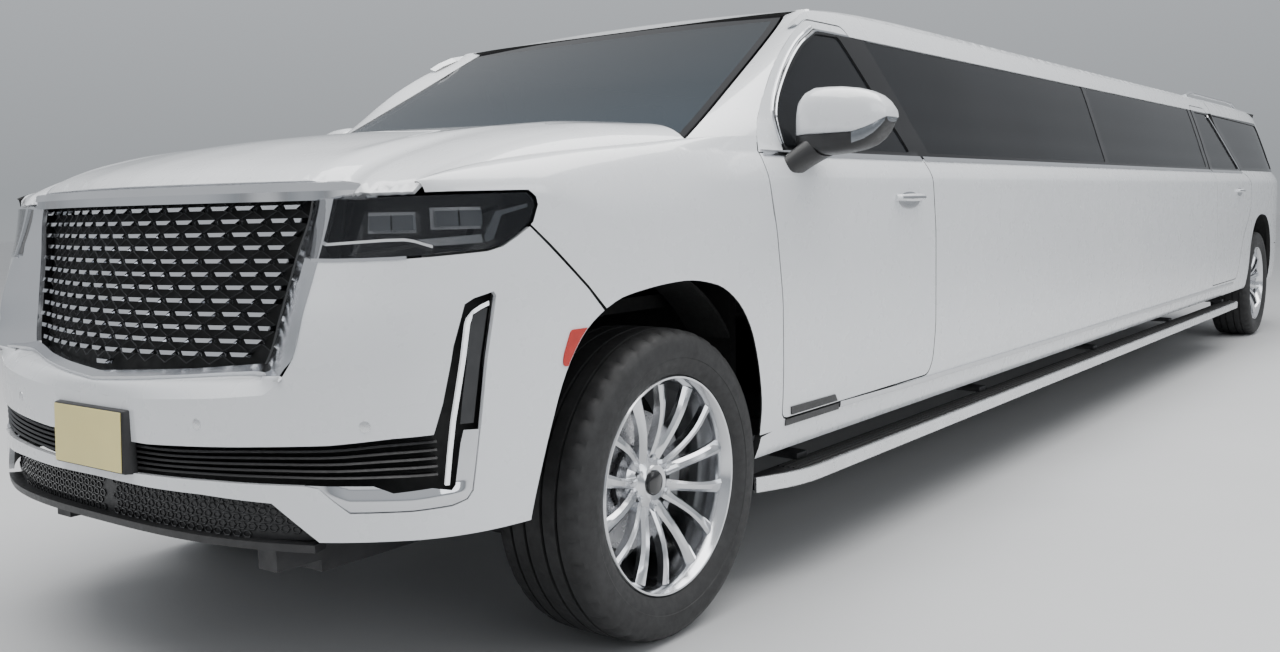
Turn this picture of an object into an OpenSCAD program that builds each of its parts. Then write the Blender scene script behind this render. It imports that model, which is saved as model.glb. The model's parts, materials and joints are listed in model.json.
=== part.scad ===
// Stretch limousine on a full-size luxury sport-utility body.
// Millimetres. +X forward, +Y to the left side, +Z up, ground at Z = 0.
// Inside car() the X coordinate counts from the front axle, forward positive.

/* [Wheels] */
// Distance between front and rear axle centres
wheelbase = 8151; // [8100:1:8200]
// Distance between left and right wheel centre planes
track = 1738; // [1726:1:1744]
// Outer diameter of a tyre
tyre_d = 834; // [820:1:838]
// Width of a tyre
tyre_w = 285; // [275:1:287]
// Diameter over the rim flanges
rim_d = 594; // [590:1:600]

/* [Body] */
// Body length in front of the front axle
front_overhang = 1030; // [1030:1:1040]
// Body length behind the rear axle
rear_overhang = 1281; // [1281:1:1290]
// Gap round doors and lids
shut_gap = 6; // [5:0.5:7]
// Height of the lower edge of the doors
sill_z = 512; // [508:1:520]

/* [Motion clearances] */
// Room round the nose of a swinging door
nose_room = 5.5; // [5:0.5:7]
// Radial running clearance between hub bore and spindle
spindle_play = 0.05; // [0.03:0.01:0.08]

/* [Hidden] */

XF = (wheelbase + front_overhang + rear_overhang)/2 - front_overhang; // front axle X
RX = -wheelbase;           // rear axle, from the front axle
HZ = tyre_d/2;             // hub height
HY = track/2;              // wheel centre plane
S  = wheelbase - 8151;     // shift of everything aft of the stretch

white = "whitesmoke"; black = [0.06,0.06,0.07]; dark = [0.13,0.13,0.14];
silver = [0.8,0.81,0.83]; glassc = [0.12,0.14,0.16,0.75];

// ---- shared outlines -----------------------------------------------------
// Outer line of the body side, [half width, height], sill to roof edge
SIDE = [[985,405],[1005,440],[1018,500],[1025,620],[1029,800],[1029.5,950],[1028,1100],[1024,1200],
        [1012,1250],[990,1296],[985,1312],[950,1420],[905,1560],[865,1680],[845,1735],[825,1775],[790,1812]];
// Upper line, roof edge to the centre
ROOF = [[790,1812],[755,1838],[680,1858],[600,1872],[400,1893],[200,1904],[0,1908]];

function mirr(p) = [for (i=[len(p)-1:-1:0]) [-p[i][0], p[i][1]]];
function unit(v) = v/norm(v);
function rot90(v) = [v[1], -v[0]];
// closed outline grown by d0, whichever way round its points run
function area2(p) = [for (i=0, t=0; i <= len(p); i=i+1, t = i > len(p) ? t : t + cross(p[i-1], p[i%len(p)])) t][len(p)];
function grow(p, d0) = let (d = area2(p) > 0 ? d0 : -d0) [for (i=[0:len(p)-1])
   let (a=p[(i+len(p)-1)%len(p)], b=p[i], c=p[(i+1)%len(p)], n1=rot90(unit(b-a)), n2=rot90(unit(c-b)))
   b + (n1+n2)*d/(1+n1*n2)];
// height at distance y on an outline of [y,z] points
function at(p, v, i=0) = i >= len(p)-1 ? p[len(p)-1][1] :
   (v-p[i][0])*(v-p[i+1][0]) <= 0 && p[i][0] != p[i+1][0] ?
   p[i][1] + (p[i+1][1]-p[i][1])*(v-p[i][0])/(p[i+1][0]-p[i][0]) : at(p, v, i+1);
function swap(p) = [for (q=p) [q[1],q[0]]];
function flip(p) = [for (i=[len(p)-1:-1:0]) p[i]];
function shiftx(p, d) = [for (q=p) [q[0]+d, q[1]]];

function tail(p) = [for (i=[1:len(p)-1]) p[i]];
ROOFI = let (h=[for (q=ROOF) [q[0]*0.95, q[1]-46]]) concat(flip(mirr(h)), tail(flip(h)));

module car() { translate([XF,0,0]) children(); }
module both() { children(); mirror([0,1,0]) children(); }
module side(on_left) { if (on_left) children(); else mirror([0,1,0]) children(); }
// side-view outline [x,z] extruded across the car
module prof(p, y0, y1) { translate([0,y1,0]) rotate([90,0,0]) linear_extrude(y1-y0) polygon(p); }
// cross-section outline [y,z] extruded along the car
module sect(p, x0, x1) { translate([x0,0,0]) rotate([90,0,90]) linear_extrude(x1-x0) polygon(p); }
module box(a, b) { translate(a) cube(b-a); }
module ycyl(x, z, d, y0, y1, f=48) { translate([x,y0,z]) rotate([-90,0,0]) cylinder(d=d, h=y1-y0, $fn=f); }

// whole side wall: skin to trim below the belt, frame thickness above it
WALL = concat(SIDE, [[750.5,1766],[775,1745],[800,1680],[842,1560],[888,1420],[905,1345],[900,1290],[905,1100],[905,405]]);
DOORW = concat([for (q=SIDE) if (q[1] < 1770) q],
        [[838,1757],[790,1757],[808,1690],[848,1560],[893,1420],[915,1345],[915,1290],[920,1100],[920,500]]);
// thin band down the middle of the window line, used by every side glass
GLASSW = [[980,1306],[946,1420],[901,1560],[861,1680],[843,1730],[837,1727],[854,1678],[894,1558],[939,1418],[973,1304]];

// Front door, [x from front axle, z]
FDOOR = [[-540,sill_z],[-1606,sill_z],[-1636,560],[-1651,700],[-1640,1040],[-1616,1200],[-1600,1304],[-1450,1510],[-1282,1752],
         [-1020,1750],[-905,1700],[-720,1588],[-565,1455],[-490,1372],[-470,1312],[-452,1245],[-500,1075],[-534,870]];
FDW = [[-640,1322],[-1520,1322],[-1222,1712],[-1060,1708],[-935,1652],[-770,1545],[-640,1428]];
// Rear door
R0 = -S;
RDOOR = shiftx([[-6440,sill_z],[-7235,sill_z],[-7275,560],[-7330,700],[-7420,830],[-7560,940],[-7640,1010],[-7668,1100],[-7650,1200],[-7590,1262],[-7480,1300],
         [-7340,1404],[-7110,1574],[-6900,1722],[-6850,1752],[-6420,1752],[-6425,1500],[-6412,1300],[-6460,1100],[-6490,900],[-6482,700]], R0);
RDW = shiftx([[-6500,1322],[-7390,1322],[-6868,1712],[-6500,1712]], R0);
// Stretch windows and quarter windows
SW1 = shiftx([[-1690,1322],[-3960,1322],[-3960,1722],[-1420,1722]], 0);
SW2 = shiftx([[-4020,1322],[-6330,1322],[-6330,1722],[-4020,1722]], R0);
QW = shiftx([[-7560,1336],[-8900,1336],[-8800,1660],[-8760,1700],[-7060,1716]], R0);

// Wheel arch openings, front and rear
FARCH = [[560,380],[540,470],[480,660],[425,782],[340,880],[204,938],[-34,958],[-180,938],[-290,880],[-362,787],[-400,670],[-418,560],[-421,380]];
RARCH = shiftx([[-7655,380],[-7672,480],[-7682,600],[-7708,730],[-7790,860],[-7920,945],[-8100,972],[-8280,960],[-8430,900],[-8535,800],[-8590,670],[-8615,540],[-8640,380]], R0);

// hinge line positions, [x, y]; the doors swing about vertical lines
FHX = -566; FHY = 1003; RHX = -6516 - S; RHY = 1003;
// room swept by the nose of the front door, round its hinge line
module front_nose() translate([FHX,FHY,0]) rotate_extrude($fn=72) polygon([[0,300],[42+nose_room,300],[42+nose_room,700],
   [46+nose_room,880],[76+nose_room,1085],[122+nose_room,1250],[118+nose_room,1340],[60+nose_room,1400],[0,1400]]);
module rear_nose() translate([RHX,RHY,0]) rotate_extrude($fn=72) polygon([[0,300],[84+nose_room,300],[84+nose_room,520],[44+nose_room,700],
   [38+nose_room,900],[64+nose_room,1100],[107+nose_room,1300],[120+nose_room,1500],[120+nose_room,1760],[0,1760]]);

// Plan line of the nose, [x,y], centre to the front door
NOSE = [[1022,0],[1018,200],[1008,360],[985,500],[950,620],[905,730],[850,820],[780,900],[690,955],[600,985],[480,1005],[300,1015],[100,1022],[-100,1027],[-526,1029]];
// Plan line of the tail, centre forwards
TAIL = shiftx([[-9432,0],[-9424,350],[-9400,600],[-9360,790],[-9290,900],[-9180,965],[-9000,1002],[-8800,1018],[-8600,1026],[-7600,1029]], R0);
function inset(p, t) = [for (i=[0:len(p)-1]) let (a=p[max(i-1,0)], c=p[min(i+1,len(p)-1)], n=rot90(unit(c-a))) p[i]+n*t];
module planband(p, t, z0, z1) translate([0,0,z0]) linear_extrude(z1-z0) polygon(concat(p, flip(inset(p,t))));

// Side line of the hood edge on the fender, [x,z]
SEAM = [[-150,1332],[100,1316],[300,1296],[500,1268],[680,1234],[800,1200],[880,1178]];

// ---- chassis ---------------------------------------------------------------
module frame_rails() color(dark) car() {
  both() {
    // side rail, kicked up over the rear axle
    prof([[760,300],[-7612-S,300],[-7752-S,490],[-9116-S,490],[-9116-S,620],[-7712-S,620],[-7572-S,440],[760,440]], 420, 500);
    // jacking pads
    for (x=[-1200,-7200-S]) box([x-30,430,290],[x+30,490,300]);
    box([760,430,330],[886,500,440]);
  }
  for (x=[700,-2200,-3800,-5400,-6360-S]) box([x,-420,330],[x+60,420,410]);
  box([-620,-420,300],[-560,420,328]);
  for (x=[-7560-S,-8780-S,-9116-S]) box([x,-420,x < -7600-S ? 500 : 330],[x+60,420,x < -7600-S ? 580 : 410]);
}
module floor_pan() color(dark) car() difference() {
  union() {
    box([-7540-S,-880,446],[-500,880,470]);
    box([-9150-S,-640,700],[-7540-S,640,724]);
    box([-7564-S,-640,446],[-7540-S,640,724]);
    box([-9150-S,-640,446],[-9126-S,640,700]);
    box([-1400,-112,470],[-500,112,600]);
  }
  front_nose(); mirror([0,1,0]) front_nose();
}
module engine_block() color([0.35,0.36,0.38]) car() {
  difference() {
    union() { box([-330,-330,520],[560,330,1080]); box([-460,-130,336],[-300,130,600]); box([-1300,-130,336],[-440,130,440]); }
    // sump clearance over the front cross-member
    box([200,-340,500],[400,340,540]);
  }
}
module front_suspension() color(dark) car() {
  box([-180,-380,250],[180,380,296]);
  both() {
    prof([[-105,262],[105,262],[60,300],[-60,300]], 380, 650);
    prof([[-110,640],[110,640],[50,676],[-50,676]], 380, 640);
    box([-60,360,440],[60,420,700]);
    ycyl(172,278,36,-1,560,24);
  }
}
module rear_axle() color(dark) car() translate([RX,0,0]) {
  ycyl(0,HZ,110,-640,640,36);
  translate([0,0,HZ]) sphere(d=300,$fn=32);
  both() {
    ycyl(0,HZ,60-2*spindle_play,630,HY+40,48);
    box([-150,520,HZ-60],[150,560,HZ+40]);
    box([150,530,300],[760,556,360]);
  }
}
module fuel_tank() color(black) car() hull() {
  box([-7400-S,60,240],[-6420-S,380,330]);
  box([-7340-S,90,225],[-6480-S,350,420]);
}
module exhaust() color([0.5,0.5,0.52]) car() {
  translate([-8700-S,-250,270]) rotate([0,90,0]) cylinder(d=70,h=7500,$fn=32);
  hull() { translate([-3600,-250,270]) rotate([0,90,0]) cylinder(d=160,h=700,$fn=24); translate([-3600,-300,270]) rotate([0,90,0]) cylinder(d=160,h=700,$fn=24); }
  translate([-8700-S,-250,270]) rotate([-90,0,0]) cylinder(d=70,h=60,$fn=24);
  hull() { translate([-8820-S,-400,270]) rotate([-90,0,0]) cylinder(d=190,h=560,$fn=24); translate([-8740-S,-400,270]) rotate([-90,0,0]) cylinder(d=190,h=560,$fn=24); }
}

// ---- body ----------------------------------------------------------------
// side outline of the fender, [x,z]
FFO = concat([[-468,430],[636,430],[606,700],[556,1000],[541,1062],[541,1150],[560,1196]], [for (i=[4:-1:0]) SEAM[i]-[0,3]], [[-300,1342],[-415,1342],[-440,1250],[-468,1160]]);
// outline of the headlamp, [x,z]
LAMPP = [[960,1062],[690,1062],[552,1166],[560,1188],[830,1196],[960,1190]];
SLOTP = [[812,566],[748,566],[650,974],[694,974]];
// room swept by a steered front tyre
module steer_room() translate([0,HY-29,300]) { cylinder(r=458,h=240,$fn=96); cylinder(r=436,h=310,$fn=96); }
module front_fenders() color(white) car() both() difference() {
  intersection() {
    planband([for (q=NOSE) if (q[0] < 700) q], -70, 400, 1400);
    prof(FFO, 700, 1100);
    sect(concat([[600,300],[1018,300],[1018,400],[1100,500]], [[1035,1180],[1022,1235],[985,1290],[950,1330],[900,1345],[600,1345]]), -600, 900);
  }
  prof(FARCH, 800, 1200);
  front_nose();
  prof(grow(FDOOR,shut_gap), 800, 1200);
  prof(grow(LAMPP,3), 700, 1200);
  steer_room();
}
module cowl() color(black) car() difference() {
  union() {
    box([-500,-879,470],[-470,879,1150]);
    box([-500,-826,1150],[-470,826,1262]);
    prof([[-500,1250],[-180,1250],[-180,1290],[-300,1325],[-470,1340],[-500,1340]], -812, 812);
    // strut towers
    both() box([-200,560,850],[200,700,890]);
    both() box([-470,700,1010],[640,760,1040]);
    both() box([-470,560,850],[-200,700,890]);
    both() box([-60,700,850],[60,724,1010]);
    // radiator support
    box([640,-760,560],[680,760,600]); box([640,-760,1040],[680,760,1080]);
    both() box([640,700,600],[680,760,1040]);
  }
  both() front_nose();
  box([-520,-140,380],[-400,140,612]);
}
module pillar_a() hull() {
  box([-500,830,1300],[-400,900,1330]);
  translate([-1130,712,1755]) cube([80,60,11]);
}
module stretch_sides() color(white) car() both() difference() {
  union() {
    difference() {
      sect(WALL, -7598-S, -470);
      prof([[-400,380],[-400,2000],[-1190,2000],[-1190,1770],[-1090,1770],[-905,1760],[-560,1500],[-460,1312],[-460,sill_z-10],[-480,380]], 600, 1200);
      // behind this line the quarter panel carries the window band
      prof(shiftx([[-7341,1291],[-7800,1291],[-7800,2000],[-7341,2000]],R0), 600, 1200);
    }
    box([-7540-S,880,420],[-470,960,sill_z-shut_gap]);
    difference() { pillar_a(); prof(grow(FDOOR,shut_gap+2), 600, 1200); }
    hull() { box([-560,850,1180],[-470,884,1300]); box([-500,830,1290],[-472,884,1320]); }
  }
  prof(grow(FDOOR,shut_gap), 600, 1200);
  prof(grow(RDOOR,shut_gap), 600, 1200);
  prof(SW1, 600, 1200); prof(SW2, 600, 1200); prof(QW, 600, 1200);
  prof(grow(RARCH,2), 600, 1200);
  front_nose(); rear_nose(); steer_room();
  // rebate in which the side glass sits
  sect(grow(GLASSW,0.3), -7350-S, -1400);
}
QREG = shiftx([[-7600,430],[-8796,430],[-8796,718],[-9300,718],[-9300,1812],[-7343,1812],[-7343,1292],[-7600,1292]], R0);
module quarter_panels() color(white) car() both() {
  difference() {
    intersection() {
      planband(TAIL, 330, 400, 1812);
      sect(concat([for (q=SIDE) q], [[750.5,1766],[775,1745],[842,1560],[905,1345],[900,1290],[905,1100],[905,405]]), -9120-S, -7300-S);
      prof(QREG, 700, 1100);
    }
    prof(grow(RDOOR,shut_gap+1), 600, 1200);
    prof(RARCH, 600, 1200);
    prof(QW, 600, 1200);
    sect(grow(GLASSW,0.3), -8960-S, -6980-S);
  }
  tail_corner();
}
// corner between quarter panel and liftgate, with the recess of the tail lamp
module tail_corner() difference() {
  intersection() {
    planband([for (q=TAIL) if (q[0] > -9395-S) q], 60, 718, 1800);
    prof(shiftx([[-9120,718],[-9385,718],[-9370,1000],[-9300,1290],[-9160,1640],[-9120,1740]],R0), 700, 1100);
    sect(concat([[700,500]], SIDE, [[700,1812]]), -9500-S, -8900-S);
  }
  box([-9600-S,0,0],[-9000-S,852,2000]);
  box([-9600-S,850,790],[-9150-S,1100,1560]);
}
module roof_panel() color(white) car() {
  difference() {
    sect(concat(ROOF, tail(mirr(ROOF)), ROOFI), -9050-S, -1110);
    // windshield header
    prof([[-1090,1600],[-1090,2000],[-2100,2000],[-1900,1906],[-1600,1886],[-1350,1858],[-1200,1828],[-1112,1800]], -1000, 1000);
    // tail slope
    prof(shiftx([[-9100,1500],[-8990,1850],[-8700,1885],[-8300,1912],[-8300,2000],[-9100,2000]],R0), -1000, 1000);
    // room for the liftgate edge as it turns
    ycyl(-9012-S,1832,62,-1000,1000,48);
  }
  // roof bows
  for (x=[-1700,-2900,-4100,-5300,-6500,-7700]) difference() {
    sect(concat([[-690,1800],[690,1800],[600,1824],[200,1856],[-200,1856],[-600,1824]]), x-S*(x<-4000?1:0), x+60-S*(x<-4000?1:0));
    sect([[-600,1790],[600,1790],[400,1812],[0,1826],[-400,1812]], x-1-S*(x<-4000?1:0), x+61-S*(x<-4000?1:0));
  }
  // aerial fin
  hull() { box([-8560-S,-6,1890],[-8420-S,6,1900]); box([-8560-S,-4,1940],[-8530-S,4,1948]); }
}
module windshield() color(glassc) car() intersection() {
  prof([[-230,1318],[-345,1384],[-508,1468],[-671,1554],[-843,1650],[-1020,1752],[-1106,1800],[-1112,1794],[-1026,1746],[-849,1644],[-677,1548],[-514,1462],[-351,1378],[-236,1312]], -860, 860);
  sect([[-826,1290],[826,1290],[700,1800],[-700,1800]], -1200, -200);
}
module side_windows() color(glassc) car() both() {
  intersection() { sect(GLASSW, -6400-S, -1400); prof(grow(SW1,-1), 700, 1100); }
  intersection() { sect(GLASSW, -6400-S, -1400); prof(grow(SW2,-1), 700, 1100); }
  intersection() { sect(GLASSW, -8960-S, -6990-S); prof(grow(QW,-1), 700, 1100); }
}

// ---- front and rear ends ---------------------------------------------------
GR = [[690,1184],[640,1060],[500,812],[250,786],[0,768]];
GRP = concat([for (q=GR) q], [for (i=[len(GR)-2:-1:0]) [-GR[i][0],GR[i][1]]]);
module grille() color(black) car() intersection() {
  sect(GRP, 600, 1100);
  translate([0,0,700]) linear_extrude(520) polygon([[812,-700],[880,-500],[905,-250],[912,0],[905,250],[880,500],[812,700],[760,700],[760,-700]]);
}
module front_bumper() color(white) car() difference() {
  union() {
    difference() {
      planband(concat(flip([for (q=NOSE) if (q[0] > 560) [q[0],-q[1]]]), [for (q=NOSE) if (q[0] > 560 && q[1] > 0) q]), -90, 440, 1170);
      // grille opening
      sect(grow(GRP,2), 500, 1200);
      // lamp openings
      both() prof(grow(LAMPP,4), 722, 1200);
      both() prof(grow(SLOTP,5), 760, 1200);
      // lower intakes
      box([500,-620,620],[1200,620,720]);
      box([500,-560,468],[1200,560,548]);
      // top slopes back with the nose
      prof([[1100,700],[1100,1300],[500,1300],[500,1190],[810,1184],[880,1000],[1010,780]], -690, 690);
      both() front_arch();
      both() prof(grow(FFO,4), 800, 1200);
    }
    // grille surround: top bar, side bars and bottom bar
    difference() {
      intersection() {
        sect(grow(GRP,32), 600, 1100);
        translate([0,0,700]) linear_extrude(600) polygon([[846,-740],[912,-500],[960,-250],[980,0],[960,250],[912,500],[846,740],[760,740],[760,-740]]);
      }
      sect(grow(GRP,2), 500, 1200);
      both() prof(grow(LAMPP,4), 722, 1200);
    }
    // intake screens
    box([900,-600,626],[920,600,714]);
    box([880,-540,474],[900,540,542]);
    box([900,-40,600],[990,40,640]);
    // number plate holder
    box([1004,-165,552],[1030,165,700]);
  }
  // holes for the plate screws
  for (y=[-89,89]) translate([980,y,676]) rotate([0,90,0]) cylinder(d=6,h=70,$fn=32);
}
module front_arch() prof(grow(FARCH,shut_gap), 800, 1200);
module front_lamps() color([0.2,0.2,0.22]) car() both() {
  intersection() {
    planband(inset([for (q=NOSE) if (q[0] > 530 && q[1] > 400) q],-12), -130, 1062, 1196);
    prof(LAMPP, 728, 1100);
  }
  intersection() {
    planband(inset([for (q=NOSE) if (q[0] > 530 && q[1] > 400) q],-12), -50, 566, 976);
    prof(SLOTP, 800, 1100);
  }
}
module rear_bumper() color(white) car() difference() {
  union() {
    planband(concat(flip([for (q=TAIL) if (q[0] < -8660-S) [q[0],-q[1]]]), [for (q=TAIL) if (q[0] < -8660-S && q[1] > 0) q]), 80, 420, 714);
    box([-9420-S,-560,430],[-9300-S,560,470]);
  }
  box([-9500-S,-280,560],[-9395-S,280,690]);
  both() prof(grow(RARCH,4), 700, 1200);
  both() box([-8801-S,600,300],[-8000-S,1200,720]);
  box([-9500-S,-60,400],[-9200-S,60,450]);
}
module tail_lamps() color([0.55,0.05,0.05]) car() both() intersection() {
  planband(inset([for (q=TAIL) if (q[0] > -9405-S) q],2), 80, 800, 1550);
  box([-9400-S,856,800],[-9160-S,1100,1550]);
}
module running_boards() color(black) car() both() {
  translate([0,0,303]) linear_extrude(46) polygon([[-446,928],[-436,985],[-560,1034],[-620,1048],[-700,1055],[-7090-S,1055],[-7150-S,1040],[-7170-S,928]]);
  for (x=[-760,-2300,-3900,-5500,-7060-S]) box([x-40,500,350],[x+40,928,390]);
  for (x=[-760,-2300,-3900,-5500,-7060-S]) box([x-40,928,349],[x+40,960,390]);
}
module wheel_liners() color(black) car() {
  // front
  both() difference() {
    ycyl(20,HZ+40,1080,770,912,72);
    ycyl(20,HZ+40,1060,700,1000,72);
    box([-700,0,-400],[700,1200,470]);
    front_nose();
    prof([[-700,470],[-700,1500],[-414,1500],[-414,470]], 700, 1100);
    prof([[700,470],[520,470],[520,1500],[700,1500]], 700, 1100);
  }
  // rear
  both() difference() {
    union() { ycyl(RX,HZ+30,1080,650,900,72); ycyl(RX,HZ+30,1080,644,668,72); }
    ycyl(RX,HZ+30,1060,668,1000,72);
    box([RX-700,0,-400],[RX+700,1200,400]);
    box([RX+486,0,0],[RX+700,1200,1500]);
    ycyl(RX,HZ,460,600,700,48);
    box([RX-230,600,300],[RX+230,700,HZ]);
  }
}

// ---- interior --------------------------------------------------------------
module dashboard() color(dark) car() difference() {
  prof([[-520,960],[-520,1290],[-600,1302],[-760,1270],[-860,1180],[-850,1040],[-760,960]], -840, 840);
  prof([[-560,900],[-560,1120],[-740,1120],[-740,900]], -820, 820);
}
module steering_wheel() color(black) car() translate([-960,400,1130]) rotate([0,22,0]) {
  rotate([0,90,0]) rotate_extrude($fn=48) translate([180,0]) circle(d=32,$fn=16);
  rotate([0,90,0]) cylinder(d=120,h=50,center=true,$fn=32);
  box([-12,-172,-16],[12,172,16]);
  translate([20,0,0]) rotate([0,90,0]) cylinder(d=50,h=74,$fn=24);
}
module seat(x, y, w, d=520, h=640) translate([x,y,0]) {
  box([0,-w/2,560],[d,w/2,790]);
  prof([[-140,700],[-2,700],[-2,792],[-120,790+h],[-240,790+h],[-190,790]], -w/2, w/2);
}
module seats() color([0.12,0.12,0.13]) car() {
  for (y=[-400,400]) { seat(-1560,y,560); box([-1500,y-200,474],[-1140,y+200,558]); }
  // long side bench on the right, rear bench across
  box([-6200-S,-860,474],[-2300,-330,860]);
  box([-6200-S,-870,864],[-2300,-740,1240]);
  box([-7420-S,-860,474],[-6860-S,860,860]);
  prof(shiftx([[-7424,474],[-7424,1000],[-7530,1500],[-7640,1500],[-7530,728],[-7530,474]],R0), -620, 620);
}

// ---- moving panels -----------------------------------------------------------
HCROSS = [[940,1250],[922,1316],[880,1345],[780,1362],[500,1378],[0,1386]];
HTOP = [[-160,1420],[-160,1386],[150,1386],[330,1368],[520,1340],[660,1304],[770,1258],[830,1212],[838,1190]];
HOODP = [[-152,-930],[-152,930],[150,946],[400,944],[600,920],[740,880],[815,820],[838,680],[852,400],[860,0],[852,-400],[838,-680],[815,-820],[740,-880],[600,-920],[400,-944],[150,-946]];
module hood_body(dz, dxy) intersection() {
  sect([for (q=concat(HCROSS, [for (i=[len(HCROSS)-2:-1:0]) [-HCROSS[i][0],HCROSS[i][1]]])) [q[0]*(1-dxy/1000), q[1]-dz]], -400, 1000);
  prof(concat([for (q=HTOP) [q[0]+(q[0]>0?-dxy*0.6:dxy), q[1]-dz]], [[838,1100],[-160+dxy,1100]]), -1000, 1000);
}
module hood() color(white) car() difference() {
  intersection() {
    translate([0,0,1000]) linear_extrude(600) polygon(HOODP);
    hood_body(0, 0);
    prof(concat([for (q=SEAM) q+[0,4]], [[900,1500],[-200,1500]]), -1000, 1000);
  }
  hood_body(36, 40);
}
LG = shiftx([[-9428,728],[-9416,900],[-9390,1080],[-9345,1290],[-9205,1620],[-9105,1790],[-9060,1836],[-9040,1856],[-8998,1846],[-9010,1800],[-9060,1700],[-9180,1420],[-9262,1200],[-9300,1000],[-9320,728]], R0);
LGW = [[-690,1306],[690,1306],[610,1760],[-610,1760]];
module liftgate() color(white) car() difference() {
  intersection() {
    prof(LG, -840, 840);
    sect([[-838,700],[838,700],[846,1000],[838,1300],[700,1760],[620,1862],[-620,1862],[-700,1760],[-838,1300],[-846,1000]], -9600-S, -8900-S);
  }
  sect(LGW, -9600-S, -8900-S);
  box([-9500-S,-270,800],[-9402-S,270,960]);
  // holes for the plate screws
  for (y=[-89,89]) translate([-9410-S,y,920]) rotate([0,90,0]) cylinder(d=6,h=38,$fn=32);
  prof(LGG(), -690, 690);
}
function LGG() = shiftx([[-9338,1290],[-9198,1622],[-9106,1778],[-9100,1774],[-9192,1618],[-9332,1288]], R0);
module liftgate_glass() color(glassc) car() intersection() {
  prof(grow(LGG(),-0.4), -680, 680);
  sect(grow(LGW,-1), -9600-S, -8900-S);
}
module door(p, w, mir=false) difference() {
  union() {
    intersection() { sect(DOORW, -7700-S, -400); prof(p, 700, 1100); }
    if (mir) {
      hull() { box([-650,1000,1228],[-570,1028,1278]); box([-720,1030,1330],[-660,1080,1356]); }
      hull() { box([-800,1024,1346],[-650,1240,1372]); box([-780,1034,1350],[-660,1232,1496]); box([-800,1060,1400],[-664,1270,1470]); }
    }
  }
  intersection() { prof(w, 700, 1100); box([-8000-S,700,1300],[0,1040,1800]); }
  sect(grow(GLASSW,0.3), -7700-S, -500);
  // step round the inner panel so that the door edge clears its opening
  difference() { prof(grow(p,40), 700, 996); prof(grow(p,-14), 690, 1100); translate([0,0,0]) box([-8000-S,690,1290],[0,1100,1900]); }
}
module door_glass(w) intersection() { sect(GLASSW, -7700-S, -500); prof(grow(w,-1), 700, 1100); }
module front_door_left() color(white) car() door(FDOOR, FDW, true);
module front_door_right() color(white) car() side(false) door(FDOOR, FDW, true);
module rear_door_left() color(white) car() difference() { door(RDOOR, RDW); }
module rear_door_right() color(white) car() side(false) door(RDOOR, RDW);
module front_glass_left() color(glassc) car() door_glass(FDW);
module front_glass_right() color(glassc) car() side(false) door_glass(FDW);
module rear_glass_left() color(glassc) car() door_glass(RDW);
module rear_glass_right() color(glassc) car() side(false) door_glass(RDW);

// ---- wheels ------------------------------------------------------------------
KY = HY - 29; // steering axis
module knuckle() color([0.4,0.41,0.43]) {
  ycyl(0,HZ,60-2*spindle_play,KY-10,HY+62,48);
  translate([0,KY-40,0]) ycyl(0,HZ,150,0,34,48);
  box([-40,KY-52,HZ-136],[40,KY-20,HZ+150]);
  box([-40,KY-130,HZ+150],[40,KY-20,HZ+190]);
  box([-40,KY-110,HZ-156],[40,KY-20,HZ-136]);
  box([-40,KY-160,HZ+190],[40,KY-60,HZ+215]);
  box([-150,KY-60,HZ-40],[-40,KY-30,HZ-10]);
}
module knuckle_left() car() knuckle();
module knuckle_right() car() side(false) knuckle();
module rim() color(silver) difference() {
  union() {
    difference() {
      rotate_extrude($fn=96) polygon([[0,20],[150,30],[262,70],[270,118],[rim_d/2-1,124],[rim_d/2,112],[282,104],[276,60],[268,-60],[276,-104],[rim_d/2,-112],[rim_d/2-1,-124],[280,-124],[262,-100],[254,-60],[258,40],[150,8],[60,-6],[0,-6]]);
    }
    cylinder(d=150,h=70,$fn=48);
    translate([0,0,-6]) cylinder(d=150,h=30,$fn=48);
  }
  translate([0,0,-60]) cylinder(d=60,h=126,$fn=48);
  // windows between the seven spoke pairs
  for (a=[0:6]) rotate(a*360/7+12) translate([0,0,-70]) linear_extrude(220) polygon([[140,-9],[236,-52],[246,0],[236,52],[140,9]]);
}
module wheel_place(x, on_left) side(on_left) translate([x,HY,HZ]) rotate([-90,0,0]) rotate([0,0,0]) children();
module tyre() color(black) rotate_extrude($fn=96) {
  h = tyre_w/2; r = tyre_d/2;
  polygon([[rim_d/2-12,-96],[rim_d/2-12,-102],[rim_d/2+2,-110],[rim_d/2+3,-127],[320,-136],[350,-h],[375,-h],[398,-132],[410,-116],[r-2,-90],[r,-60],[r,60],[r-2,90],[410,116],[398,132],[375,h],[350,h],[320,136],[rim_d/2+3,127],[rim_d/2+2,110],[rim_d/2-12,102],[rim_d/2-12,96],[rim_d/2+6,90],[rim_d/2+30,100],[340,118],[380,118],[396,100],[400,0],[396,-100],[380,-118],[340,-118],[rim_d/2+30,-100],[rim_d/2+6,-90]]);
}
module front_rim_left() car() wheel_place(0,true) rim();
module front_rim_right() car() wheel_place(0,false) rim();
module rear_rim_left() car() wheel_place(RX,true) rim();
module rear_rim_right() car() wheel_place(RX,false) rim();
module front_tyre_left() car() wheel_place(0,true) tyre();
module front_tyre_right() car() wheel_place(0,false) tyre();
module rear_tyre_left() car() wheel_place(RX,true) tyre();
module rear_tyre_right() car() wheel_place(RX,false) tyre();

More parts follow.
